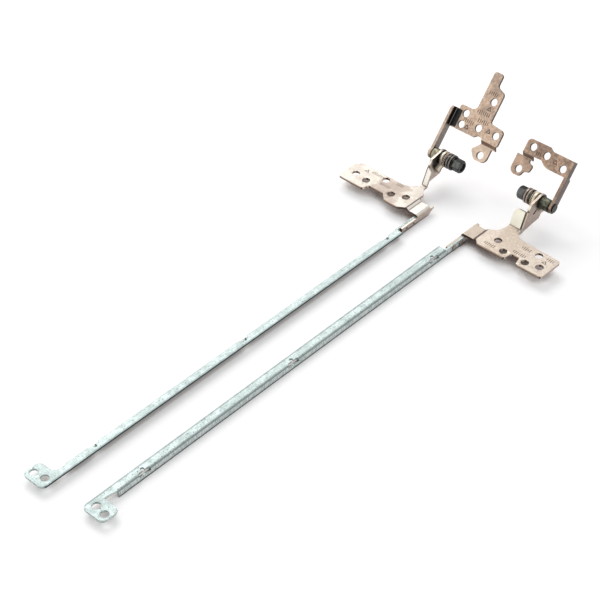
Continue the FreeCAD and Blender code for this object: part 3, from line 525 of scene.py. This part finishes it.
def level_faces(g, side, base, edge):
    """Faces that look up: joggled strip, bends painted as shaded or lit, and painted shade along the lines of the
    joggle and the edges.
    """
    outboard = g.outboard(side)
    strip_end = JOGGLE_END[side] - JOGGLE_RUN
    strip = g.below(outboard, strip_end - LINE_WIDTH, strip_end)
    base = g.lay(base, strip, Tone(DISPLAY_TONES[side]["strip"], DISPLAY_SHARES["strip"]))
    facing_up = g.toward(FACE_UP)
    level = g.step(facing_up, *LEVEL_FACE)
    bent = g.both(level, g.below(facing_up, *FLAT_FACE))
    sideways = g.step(g.toward(FACE_ALONG_X), *SIDEWAYS_BEND)
    base = g.mix(bent, base, g.mix(sideways, *BEND_SHADE_AND_LIGHT))
    for shade, colour in joggle_shades(g, side, outboard):
        base = g.mix(g.both(level, shade), base, colour)
    return g.lay(base, g.both(level, edge), NICKEL["plate_edge_shade"])


def joggle_shades(g, side, outboard):
    """Masks and colours of painted shade: a line at each bend of the left joggle; the right joggle is painted dark
    all over.
    """
    upper = JOGGLE_END[side]
    lower = upper - JOGGLE_RUN
    if side == "right":
        slope = g.band(outboard, (lower - LINE_WIDTH, lower), (upper, upper + LINE_WIDTH))
        return [(slope, JOGGLE_SHADE)]
    shades = []
    for bend, colour in ((upper, JOGGLE_SHADE), (lower, JOGGLE_LIGHT_SHADE)):
        distance = g.math("ABSOLUTE", g.math("SUBTRACT", outboard, bend))
        shades.append((g.below(distance, LINE_WIDTH / 2, LINE_WIDTH), colour))
    return shades


def neck_and_folds(g, side, base):
    """Steep faces: neck painted pale as lit, sheared edges over a painted shadow line, painted shade on the lug's
    fold and a painted highlight on its crest.
    """
    tones = DISPLAY_TONES[side]
    facing_up = g.toward(FACE_UP)
    facing_out = g.toward(FACE_ALONG_X)
    # Neck faces painted near white as lit
    neck = g.band(facing_up, *NECK_FACE)
    base = g.mix(neck, base, tones["neck"])
    steep = g.below(facing_up, *STEEP_FACE)
    cut = g.both(steep, g.without(neck))
    base = g.mix(cut, base, g.mix(g.below(g.up, *SHADOW_LINE), *CUT_TONE_AND_SHADOW))
    # Painted shade on the lug's fold, and a painted highlight on its crest
    base = g.lay(base, g.both(steep, g.band(facing_out, *LUG_FOLD)), NICKEL["fold"])
    crest_highlight = g.both(steep, g.band(facing_out, *LUG_CREST))
    crest_highlight_tone = g.mix(g.step(g.up, *CREST_RISE), tones["crest_highlight"], HIGH_CREST_HIGHLIGHT)
    return g.mix(crest_highlight, base, crest_highlight_tone)


def lug_faces(g, side, base, fine, edge):
    """Lug painted darker as shade with random worn patches, deeper painted shade round the shaft, and painted
    shade along the edges of all steep faces.
    """
    tones = DISPLAY_TONES[side]
    # Lug faces painted darker as shade, mottled with random worn patches
    lug = g.step(g.toward(FACE_ALONG_X), *LUG_FACE)
    base = g.mix(lug, base, g.mix(g.step(fine, *LUG_WEAR), tones["lug"], tones["lug_worn"]))
    # Deeper painted shade round the shaft
    shaded_round_shaft = g.below(g.from_axis(side), SHAFT_SHADE_REACH[side] - SHAFT_SHADE_FADE, SHAFT_SHADE_REACH[side])
    base = g.lay(base, g.both(lug, shaded_round_shaft), NICKEL["shaft_shade"])
    steep = g.below(g.toward(FACE_UP), *STEEP_FACE)
    return g.lay(base, g.both(steep, edge), NICKEL["steep_edge_shade"])


# Copper-toned plating of the base brackets

# Plate, its middling and stained places, tongue, painted shade on bends, and the arm from the front and, painted
# as shaded, from the side
BASE_TONES = {
    "left": {"plate": srgb(228, 199, 174), "mid": srgb(196, 172, 154), "stain": srgb(170, 143, 125),
             "tongue": srgb(250, 228, 206), "bend": srgb(158, 134, 118),
             "arm_front": srgb(218, 196, 180), "arm": srgb(140, 130, 126)},
    "right": {"plate": srgb(202, 171, 146), "mid": srgb(168, 143, 126), "stain": srgb(130, 105, 90),
              "tongue": srgb(222, 192, 168), "bend": srgb(122, 104, 94),
              "arm_front": srgb(140, 114, 98), "arm": srgb(116, 104, 98)},
}
STAIN_SHARE = {"left": 0.40, "right": 0.60}
BASE_FLECKS = 0.40
TONGUE_SHARE = 0.5
TONGUE_FADE = 1.5 * MM
# Sheared faces painted dark brown as shade; the arm's sides take a painted shade mottled at random with a deeper
# one
SHEARED_SHADE = srgb(84, 64, 54)
ARM_DEEP_SHADE = srgb(98, 88, 82)
ARM_WEAR = (0.40, 0.70)
# Painted highlight along edges, painted shade in gaps
PLATED = {
    "edge": Tone(srgb(246, 220, 198), 0.45),
    "gap": Tone(srgb(44, 34, 28), 0.6),
}
PLATED_SHEEN = Sheen(bump=0.03 * MM, roughness=(0.50, 0.38), metallic=0.6, edge=0.22 * MM, gap=1.4 * MM)
PLATED_CLOUD = Cloud(6.0 * MM, 5.0, 0.40, 0.60)
PLATED_FINE = Cloud(0.6 * MM, 5.0, 0.46, 0.64)

# How far bends and plates face out of the plate, and arms along x
BEND_FACE = (0.35, 0.55)
PLATE_FACE = (0.80, 0.97)
ARM_FACE = (0.85, 0.98)


def plated(side):
    """Copper-toned plating with stains; sheared faces, bends and the arm's sides are painted dark as shade, edges
    carry a painted highlight and gaps painted shade.
    """
    tones = BASE_TONES[side]
    g = Finish(side + "_plated")
    cloud = g.clouds(PLATED_CLOUD)
    fine = g.noise(PLATED_FINE)
    base = g.mix(cloud, tones["mid"], tones["plate"])
    base = g.lay(base, g.high(fine, PLATED_FINE), Tone(tones["stain"], STAIN_SHARE[side]))
    base = g.flecks(base, tones["stain"], tones["tongue"], BASE_FLECKS)
    height = g.math("SUBTRACT", g.dot(g.place, tuple(ALONG_ARM)), AXIS[side].dot(ALONG_ARM))
    lower = g.below(height, TONGUE_TOP - TONGUE_FADE, TONGUE_TOP)
    on_arm = g.math("GREATER_THAN", g.from_middle(), arm_outside(side) - ARM_DEPTH)
    lower_tone = g.mix(on_arm, tones["tongue"], tones["arm_front"])
    base = g.lay(base, lower, Tone(lower_tone, TONGUE_SHARE))
    flat = g.toward(OUT_OF_PLATE)
    slant_tone = g.mix(g.step(flat, *BEND_FACE), SHEARED_SHADE, tones["bend"])
    base = g.mix(g.below(flat, *PLATE_FACE), base, slant_tone)
    arm_side = g.both(on_arm, g.step(g.toward(FACE_ALONG_X), *ARM_FACE))
    base = g.mix(arm_side, base, g.mix(g.step(fine, *ARM_WEAR), tones["arm"], ARM_DEEP_SHADE))
    base = g.lay(base, g.edges(PLATED_SHEEN.edge), PLATED["edge"])
    base = g.lay(base, g.gaps(PLATED_SHEEN.gap), PLATED["gap"])
    g.bump(fine, PLATED_SHEEN)
    return g.finish(base, PLATED_SHEEN, cloud)


# Turned washers and springs

TURNED_CLOUD = Cloud(1.4 * MM, 5.0, 0.35, 0.70)
TURNED_CLOUD_SHARE = 0.30
TURNING = Cloud(0.16 * MM, 2.0, 0.46, 0.60)
TURNED_EDGE = 0.12 * MM
TURNED_GAP = 0.7 * MM
TURNED_BUMP = 0.015 * MM
# Painted shade in the gaps of the turned pieces
TURNED_GAP_SHADE = Tone(srgb(10, 9, 8), 0.85)


class Turned(Finish):
    """Turned steel: cloudy, with painted highlights along the edges, painted shade in gaps, and marks round the
    shaft.
    """

    def __init__(self, side, name, body, rim, sheen, hatch=None):
        super().__init__(side + "_" + name)
        self.sheen = sheen
        self.cloud = self.clouds(TURNED_CLOUD)
        self.marks = self.noise(TURNING, self.round_axis(side))
        colour = self.lay(body, self.cloud, Tone(rim.colour, TURNED_CLOUD_SHARE))
        if hatch:
            colour = self.lay(colour, self.high(self.marks, TURNING), hatch)
        colour = self.lay(colour, self.edges(sheen.edge), rim)
        self.colour = self.lay(colour, self.gaps(sheen.gap), TURNED_GAP_SHADE)

    def done(self):
        self.bump(self.marks, self.sheen)
        return self.finish(self.colour, self.sheen, self.cloud)


SPRING_BODY = srgb(20, 20, 22)
# Painted highlights along the springs' edges and rims
SPRING_RIM_HIGHLIGHTS = {"left": Tone(srgb(138, 134, 126), 0.3), "right": Tone(srgb(186, 170, 158), 0.3)}
SPRING_SHEEN = Sheen(TURNED_BUMP, (0.40, 0.27), 0.6, TURNED_EDGE, TURNED_GAP)
LIT_RIM_START = 0.25 * MM
LIT_RIM_FULL = 0.05 * MM


def spring(side):
    """Black disc springs with painted highlights on their rims."""
    rim = SPRING_RIM_HIGHLIGHTS[side]
    g = Turned(side, "spring", SPRING_BODY, rim, SPRING_SHEEN)
    radius = rim_radius(side + "_disc_spring_1")
    lit_rim = g.step(g.from_axis(side), radius - LIT_RIM_START, radius - LIT_RIM_FULL)
    g.colour = g.mix(lit_rim, g.colour, rim.colour)
    return g.done()


BRIGHT_BODY = srgb(238, 224, 196)
# Painted highlight along the washers' edges
BRIGHT_RIM_HIGHLIGHT = Tone(srgb(250, 244, 228), 0.4)
BRIGHT_HATCH = Tone(srgb(88, 68, 54), 0.3)
BRIGHT_SHEEN = Sheen(TURNED_BUMP, (0.44, 0.31), 0.6, TURNED_EDGE, TURNED_GAP)


def bright(side):
    """Bright washers with brown turning marks."""
    return Turned(side, "bright", BRIGHT_BODY, BRIGHT_RIM_HIGHLIGHT, BRIGHT_SHEEN, BRIGHT_HATCH).done()


BRONZE_BODIES = {"left": srgb(204, 180, 166), "right": srgb(214, 200, 172)}
# Painted highlights along the bronze washers' edges
BRONZE_RIM_HIGHLIGHTS = {"left": Tone(srgb(244, 228, 216), 0.3), "right": Tone(srgb(250, 240, 220), 0.3)}
# Painted shade over the washer but for the tips of its knurl
BRONZE_SHADE = srgb(70, 54, 46)
BRONZE_SHADE_FADE = 0.12 * MM
BRONZE_SHEEN = Sheen(TURNED_BUMP, (0.46, 0.33), 0.5, TURNED_EDGE, TURNED_GAP)


def bronze(side):
    """Bronze washer, painted dark as shade but for the tips of its knurl."""
    g = Turned(side, "bronze", BRONZE_BODIES[side], BRONZE_RIM_HIGHLIGHTS[side], BRONZE_SHEEN)
    tips = rim_radius(side + "_bronze_washer") - KNURL_DEPTH / 2
    raised = g.step(g.from_axis(side), tips - BRONZE_SHADE_FADE, tips)
    g.colour = g.mix(raised, BRONZE_SHADE, g.colour)
    return g.done()


# Black lock nuts

NUT_CLOUD = Cloud(1.0 * MM, 5.0, 0.35, 0.70)
NUT_GRAIN = Cloud(0.15 * MM, 3.0)
NUT_PLAIN = (srgb(30, 33, 34), srgb(48, 51, 51))
# One facet painted grey as lit, painted highlights along the edges, painted shade in gaps
NUT_LIT_FACET = (srgb(92, 95, 92), srgb(114, 117, 113))
NUT_EDGE_HIGHLIGHT = Tone(srgb(118, 121, 121), 0.6)
NUT_GAP_SHADE = Tone(srgb(8, 8, 9), 0.9)
NUT_SHEEN = Sheen(bump=0.01 * MM, roughness=(0.42, 0.32), metallic=0.4, edge=0.16 * MM, gap=1.0 * MM)
LIT_FACET = (0.0, -0.64, 0.77)
LIT_FACET_FACE = (0.80, 0.92)


def lock_nut(side):
    """Black nut: one facet is painted grey as lit, and the facet edges carry a painted highlight."""
    g = Finish(side + "_lock_nut")
    cloud = g.clouds(NUT_CLOUD)
    base = g.mix(cloud, *NUT_PLAIN)
    lit_facet = g.step(g.dot(g.facing, LIT_FACET), *LIT_FACET_FACE)
    base = g.mix(lit_facet, base, g.mix(cloud, *NUT_LIT_FACET))
    base = g.lay(base, g.edges(NUT_SHEEN.edge), NUT_EDGE_HIGHLIGHT)
    base = g.lay(base, g.gaps(NUT_SHEEN.gap), NUT_GAP_SHADE)
    g.bump(g.noise(NUT_GRAIN), NUT_SHEEN)
    return g.finish(base, NUT_SHEEN, cloud)


# Oiled shafts

PIN_CLOUD = Cloud(1.2 * MM, 5.0, 0.35, 0.70)
PIN_MARKS = Cloud(0.16 * MM, 2.0, 0.5, 0.7, stretch=(1.0, 0.2, 0.2))
PIN_DARK = {"left": srgb(128, 122, 100), "right": srgb(70, 72, 60)}
PIN_PALE = {"left": srgb(196, 190, 164), "right": srgb(128, 130, 110)}
PIN_MARK_SHARE = 0.4
PIN_END = Tone(srgb(74, 74, 70))
PIN_END_FACE = (0.85, 0.97)
# Painted highlight along the edges, painted shade in a ring beside the arm and in gaps
PIN_EDGE_HIGHLIGHT = Tone(srgb(196, 192, 176), 0.4)
PIN_RING_SHADE = Tone(srgb(20, 18, 15))
PIN_RING_SHADE_WIDTH = 0.5 * MM
PIN_GAP_SHADE = Tone(srgb(14, 12, 10))
PIN_SHEEN = Sheen(bump=0.015 * MM, roughness=(0.50, 0.40), metallic=0.6, edge=0.15 * MM, gap=1.8 * MM)


def pin(side):
    """Oiled shaft: pale worn collar, dark ends, painted shade in a ring beside the arm, and painted highlights
    along the edges.
    """
    g = Finish(side + "_pin")
    cloud = g.clouds(PIN_CLOUD)
    marks = g.noise(PIN_MARKS)
    end = g.toward(FACE_ALONG_X)
    base = g.mix(cloud, PIN_DARK[side], PIN_PALE[side])
    base = g.lay(base, g.high(marks, PIN_MARKS), Tone(PIN_DARK[side], PIN_MARK_SHARE))
    base = g.lay(base, g.step(end, *PIN_END_FACE), PIN_END)
    base = g.lay(base, g.edges(PIN_SHEEN.edge), PIN_EDGE_HIGHLIGHT)
    arm_inside = arm_outside(side) - ARM_DEPTH
    ring = g.step(g.from_middle(), arm_inside - PIN_RING_SHADE_WIDTH, arm_inside)
    base = g.lay(base, g.both(ring, g.without(end)), PIN_RING_SHADE)
    base = g.lay(base, g.gaps(PIN_SHEEN.gap), PIN_GAP_SHADE)
    g.bump(marks, PIN_SHEEN)
    return g.finish(base, PIN_SHEEN, cloud)


# Insulating tape

TAPE_WEAVE = Cloud(0.25 * MM, 3.0, 0.5, 0.8)
TAPE_PLAIN = (srgb(4, 4, 5), srgb(13, 13, 14))
# Painted highlight along the fold
TAPE_FOLD_HIGHLIGHT = Tone(srgb(190, 186, 180), 0.9)
TAPE_FOLD_FACE = (0.95, 0.99)
TAPE_SHEEN = Sheen(bump=0.01 * MM, roughness=(0.34, 0.48), metallic=0.0)


def tape(side):
    """Black polyester film with a fine crackle; a painted highlight runs along the fold."""
    g = Finish(side + "_tape")
    weave = g.noise(TAPE_WEAVE)
    base = g.mix(g.high(weave, TAPE_WEAVE), *TAPE_PLAIN)
    inboard = Vector((-OUTBOARD[side], 0.0, 0.0))
    fold_direction = (inboard + OUT_OF_PLATE).normalized()
    fold = g.step(g.dot(g.facing, tuple(fold_direction)), *TAPE_FOLD_FACE)
    base = g.lay(base, fold, TAPE_FOLD_HIGHLIGHT)
    g.bump(weave, TAPE_SHEEN)
    return g.finish(base, TAPE_SHEEN, weave)


# Stamped marks

STAMP_GRAIN = Cloud(0.2 * MM, 3.0)
STAMP_TONES = (srgb(74, 56, 44), srgb(116, 92, 74))
STAMP_SHEEN = Sheen(bump=0.0, roughness=0.6, metallic=0.2)


def stamp_ink():
    """Dark brown of the stamped marks."""
    g = Finish("stamp")
    return g.finish(g.mix(g.noise(STAMP_GRAIN), *STAMP_TONES), STAMP_SHEEN)


def make_materials(side):
    """One material for each of the record's slots, for one hinge."""
    return {
        "zinc_steel": zinc(side),
        "nickel_steel": nickel(side),
        "plated_steel": plated(side),
        "dark_steel": pin(side),
        "black_steel": lock_nut(side),
        "spring_steel": spring(side),
        "bright_steel": bright(side),
        "bronze": bronze(side),
        "tape": tape(side),
    }


# Edges of the stamped and turned pieces

WELD_REACH = 0.002 * MM
EDGE_BREAK = 0.08 * MM
EDGE_SEGMENTS = 2
EDGE_ANGLE = math.radians(35)


def break_edges(piece):
    """Join the faces of a piece and give its sharp edges a small rounded break."""
    weld = piece.modifiers.new("weld", "WELD")
    weld.merge_threshold = WELD_REACH
    bevel = piece.modifiers.new("edge_break", "BEVEL")
    bevel.width = EDGE_BREAK
    bevel.segments = EDGE_SEGMENTS
    bevel.limit_method = "ANGLE"
    bevel.angle_limit = EDGE_ANGLE
    normals = piece.modifiers.new("normals", "WEIGHTED_NORMAL")
    normals.keep_sharp = False


def dress_nodes(materials):
    """Give every solid the material of its slot and broken edges."""
    for part in frame["record"]["subparts"]:
        node = NODES[part["node"]]
        side = part["node"].split("_")[0]
        node.material_slots[0].material = materials[side][part["material_slot"]]
        break_edges(node)


# Detail pieces

def new_piece(name, mesh_data, material, body):
    """Object in the shared frame that rides on a body."""
    mesh = bpy.data.meshes.new(name)
    mesh_data.to_mesh(mesh)
    mesh_data.free()
    mesh.materials.append(material)
    piece = bpy.data.objects.new(name, mesh)
    bpy.context.collection.objects.link(piece)
    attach(piece, body)
    return piece


# Knurled rings

KNURL_COUNT = 22
KNURL_SKEW = math.radians(9)
KNURL_CHAMFER = 0.12 * MM
RING_BORE = 1.77 * MM


def knurl_loop(mesh, side, across, radius, skew):
    """Points round a shaft; outside the bore every second one is sunk by the depth of the knurl."""
    count = 2 * KNURL_COUNT
    loop = []
    for index in range(count):
        angle = 2 * math.pi * index / count + skew
        groove = KNURL_DEPTH if index % 2 and radius > RING_BORE else 0.0
        along = AXIS[side].y + (radius - groove) * math.cos(angle)
        up = AXIS[side].z + (radius - groove) * math.sin(angle)
        loop.append(mesh.verts.new((across, along, up)))
    return loop


def make_knurled_ring(side, material):
    """Bronze washer whose rim carries fine slanted knurling."""
    node = side + "_bronze_washer"
    low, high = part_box(node)
    start, end = low[0], high[0]
    rim = rim_radius(node)
    stations = [
        (start, RING_BORE, 0.0),
        (start, rim - KNURL_CHAMFER, 0.0),
        (start + KNURL_CHAMFER, rim, 0.0),
        (end - KNURL_CHAMFER, rim, KNURL_SKEW),
        (end, rim - KNURL_CHAMFER, KNURL_SKEW),
        (end, RING_BORE, 0.0),
    ]
    mesh = bmesh.new()
    loops = [knurl_loop(mesh, side, *station) for station in stations]
    for ring, following in zip(loops, loops[1:] + loops[:1]):
        for index in range(len(ring)):
            after = (index + 1) % len(ring)
            mesh.faces.new((ring[index], following[index], following[after], ring[after]))
    bmesh.ops.recalc_face_normals(mesh, faces=mesh.faces)
    piece = new_piece(side + "_knurled_ring", mesh, material, side + "_base")
    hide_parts(node)


# Stamped triangles and bars

STROKE_WIDTH = 0.30 * MM
STROKE_HEIGHT = 0.02 * MM
STROKE_TOP_SHARE = 0.8


def stroke_corners(mesh, start, end, out, height, width):
    """Four corners of a bar at a height over a surface, in order round it."""
    forward = (end - start).normalized()
    sideways = out.cross(forward)
    corners = []
    for point, way in ((start, -1), (end, 1)):
        for flank in (-1, 1):
            reach = forward * (way * width / 2) + sideways * (way * flank * width / 2)
            corners.append(mesh.verts.new(point + reach + out * height))
    return corners


def add_stroke(mesh, start, end, out):
    """Thin flat bar with sloped sides from one point to another on a surface."""
    lower = stroke_corners(mesh, start, end, out, 0.0, STROKE_WIDTH)
    upper = stroke_corners(mesh, start, end, out, STROKE_HEIGHT, STROKE_WIDTH * STROKE_TOP_SHARE)
    mesh.faces.new(upper)
    mesh.faces.new(lower[::-1])
    for index in range(len(lower)):
        after = (index + 1) % len(lower)
        mesh.faces.new((lower[index], lower[after], upper[after], upper[index]))


class Surface:
    """Flat face of a bracket, with places given outboard and along it, in millimetres."""

    def __init__(self, side, origin, along, out):
        self.origin = origin
        self.sideways = Vector((OUTBOARD[side], 0.0, 0.0))
        self.along = along
        self.out = out

    def point(self, outboard, along):
        return self.origin + self.sideways * (outboard * MM) + self.along * (along * MM)


def base_surface(side):
    return Surface(side, AXIS[side] - OUT_OF_PLATE * PLATE_SET_BACK, ALONG_ARM, OUT_OF_PLATE)


def display_surface(side):
    origin = Vector((AXIS[side].x, AXIS[side].y, PLATE_TOP))
    return Surface(side, origin, Vector((0.0, 1.0, 0.0)), Vector(FACE_UP))


# Sizes of the marks, in millimetres like their places
TRIANGLE_SIDE = 1.7
TICK_HEIGHT = 1.5
TICK_PITCH = 0.9
SHORT_TICK_EVERY = 3
SHORT_TICK_SHARE = 0.7


def add_triangle(mesh, surface, outboard, along):
    """Outline of an upright triangle round a centre."""
    rise = TRIANGLE_SIDE * math.sqrt(3) / 2
    foot = along - rise / 3
    corners = [
        (outboard - TRIANGLE_SIDE / 2, foot),
        (outboard + TRIANGLE_SIDE / 2, foot),
        (outboard, foot + rise),
    ]
    points = [surface.point(*corner) for corner in corners]
    for start, end in zip(points, points[1:] + points[:1]):
        add_stroke(mesh, start, end, surface.out)


def add_ticks(mesh, surface, outboard, along, count):
    """Row of plain bars round a centre, every third one short."""
    for index in range(count):
        place = outboard + (index - (count - 1) / 2) * TICK_PITCH
        height = TICK_HEIGHT if index % SHORT_TICK_EVERY else TICK_HEIGHT * SHORT_TICK_SHARE
        foot = surface.point(place, along - height / 2)
        top = surface.point(place, along + height / 2)
        add_stroke(mesh, foot, top, surface.out)


# Places outboard and along of triangles, and of rows of bars with their number of bars
BASE_TRIANGLES = {"left": [(5.1, 15.2), (-4.85, 17.4), (-0.8, 25.6)], "right": [(12.0, 16.2)]}
BASE_TICKS = {"left": [(0.6, 32.0, 5), (0.8, 23.2, 7), (-0.8, 20.0, 6), (5.4, 17.8, 6)],
              "right": [(3.8, 16.4, 3)]}
DISPLAY_TRIANGLES = {"left": [(31.0, -20.2)], "right": [(33.6, -22.2)]}
DISPLAY_TICKS = {"left": [(26.0, -19.3, 7), (19.0, -22.9, 6), (14.8, -18.6, 4)],
                 "right": [(11.0, -27.4, 6), (23.2, -24.3, 7), (23.5, -20.2, 5), (34.6, -19.6, 4)]}


def marks_mesh(surface, triangles, ticks):
    """Mesh of all the marks on one surface."""
    mesh = bmesh.new()
    for outboard, along in triangles:
        add_triangle(mesh, surface, outboard, along)
    for outboard, along, count in ticks:
        add_ticks(mesh, surface, outboard, along, count)
    return mesh


def make_marks(side, material):
    """Stamped marks on the two brackets of one hinge."""
    base = marks_mesh(base_surface(side), BASE_TRIANGLES[side], BASE_TICKS[side])
    new_piece(side + "_base_marks", base, material, side + "_base")
    display = marks_mesh(display_surface(side), DISPLAY_TRIANGLES[side], DISPLAY_TICKS[side])
    new_piece(side + "_display_marks", display, material, "display_side")


# Stage: pale floor, soft studio light

FLOOR_RADIUS = 8.0
FLOOR_CORNERS = 96
FLOOR_GLOW = 0.32
FLOOR_SHEEN = Sheen(bump=0.0, roughness=0.9, metallic=0.0)
PAPER = Cloud(0.4, 3.0)
PAPER_TONES = ((0.80, 0.79, 0.80, 1.0), grey(0.78))
# Reach of the occlusion that sets the painted shadow on the floor
FLOOR_SHADE_REACH = 20 * MM
PAINTED_SHADOW_OCCLUSION = (0.46, 0.70)

# Where along y the painted shadow of the rails turns into that of the plates, and the tone and lost glow of each
PLATE_SHADOW_START = (52 * MM, 70 * MM)
SHADE_TONES = (srgb(184, 168, 162), srgb(124, 94, 80))
LOST_GLOW = (0.45, 0.92)


def make_floor():
    """Pale floor that shows white where no shadow falls, with painted shadow under the rails and plates."""
    bpy.ops.mesh.primitive_circle_add(vertices=FLOOR_CORNERS, radius=FLOOR_RADIUS, fill_type="NGON")
    floor = bpy.context.object
    floor.name = "floor"
    g = Finish("floor")
    paper = g.mix(g.noise(PAPER), *PAPER_TONES)
    painted_shadow = g.step(g.gaps(FLOOR_SHADE_REACH), *PAINTED_SHADOW_OCCLUSION)
    under_plates = g.step(g.along, *PLATE_SHADOW_START)
    g.finish(g.mix(painted_shadow, paper, g.mix(under_plates, *SHADE_TONES)), FLOOR_SHEEN)
    rays = g.add("ShaderNodeLightPath")
    seen = g.math("MAXIMUM", rays.outputs["Is Camera Ray"], rays.outputs["Is Glossy Ray"])
    seen = g.math("MAXIMUM", seen, rays.outputs["Is Transmission Ray"])
    lost_glow = g.both(painted_shadow, g.scale(under_plates, *LOST_GLOW))
    glow = g.both(g.without(lost_glow), FLOOR_GLOW)
    g.shader.inputs["Emission Color"].default_value = grey(1.0)
    g.put(g.shader.inputs["Emission Strength"], g.both(seen, glow))
    g.shader.inputs["Specular IOR Level"].default_value = 0.0
    floor.data.materials.append(g.material)


# Parts of the room that are brighter or darker: direction, inner and outer angle in degrees, level
ROOM_LEVEL = 0.45
ROOM_PANELS = (
    ((-0.50, 0.56, 0.66), 15, 60, 0.80),
    ((0.50, 0.56, 0.66), 10, 34, 1.00),
    ((-0.51, -0.74, 0.44), 10, 45, 0.95),
    ((-0.51, -0.85, 0.00), 10, 34, 1.70),
    ((0.75, -0.62, 0.20), 20, 60, 0.10),
)


def make_world():
    """Room with pale panels behind the hinges and on both sides, and darkness behind the camera."""
    world = bpy.data.worlds.new("studio")
    bpy.context.scene.world = world
    world.use_nodes = True
    g = Graph(world.node_tree)
    background = world.node_tree.nodes["Background"]
    direction = g.add("ShaderNodeTexCoord").outputs["Generated"]
    colour = grey(ROOM_LEVEL)
    for centre, inner, outer, level in ROOM_PANELS:
        lean = g.dot(direction, tuple(Vector(centre).normalized()))
        mask = g.step(lean, math.cos(math.radians(outer)), math.cos(math.radians(inner)))
        colour = g.mix(mask, colour, grey(level))
    g.put(background.inputs["Color"], colour)


KEY_DIRECTION = Vector((-0.64, 0.36, 0.68))
KEY_DISTANCE = 2.4
KEY_SIZE = 1.5
KEY_POWER = 30.0


def make_key_lamp():
    """Square area lamp that looks at the hinges from behind on the left."""
    data = bpy.data.lights.new("key", "AREA")
    data.size = KEY_SIZE
    data.energy = KEY_POWER
    lamp = bpy.data.objects.new("key", data)
    lamp.location = AIM + KEY_DIRECTION.normalized() * KEY_DISTANCE
    lamp.rotation_euler = (AIM - lamp.location).to_track_quat("-Z", "Y").to_euler()
    bpy.context.collection.objects.link(lamp)


make_camera()
make_world()
make_floor()
make_key_lamp()
hinge_materials = {side: make_materials(side) for side in SIDES}
dress_nodes(hinge_materials)
mark_material = stamp_ink()
for hinge in SIDES:
    make_knurled_ring(hinge, hinge_materials[hinge]["bronze"])
    make_marks(hinge, mark_material)
bpy.context.scene.view_settings.view_transform = "Standard"
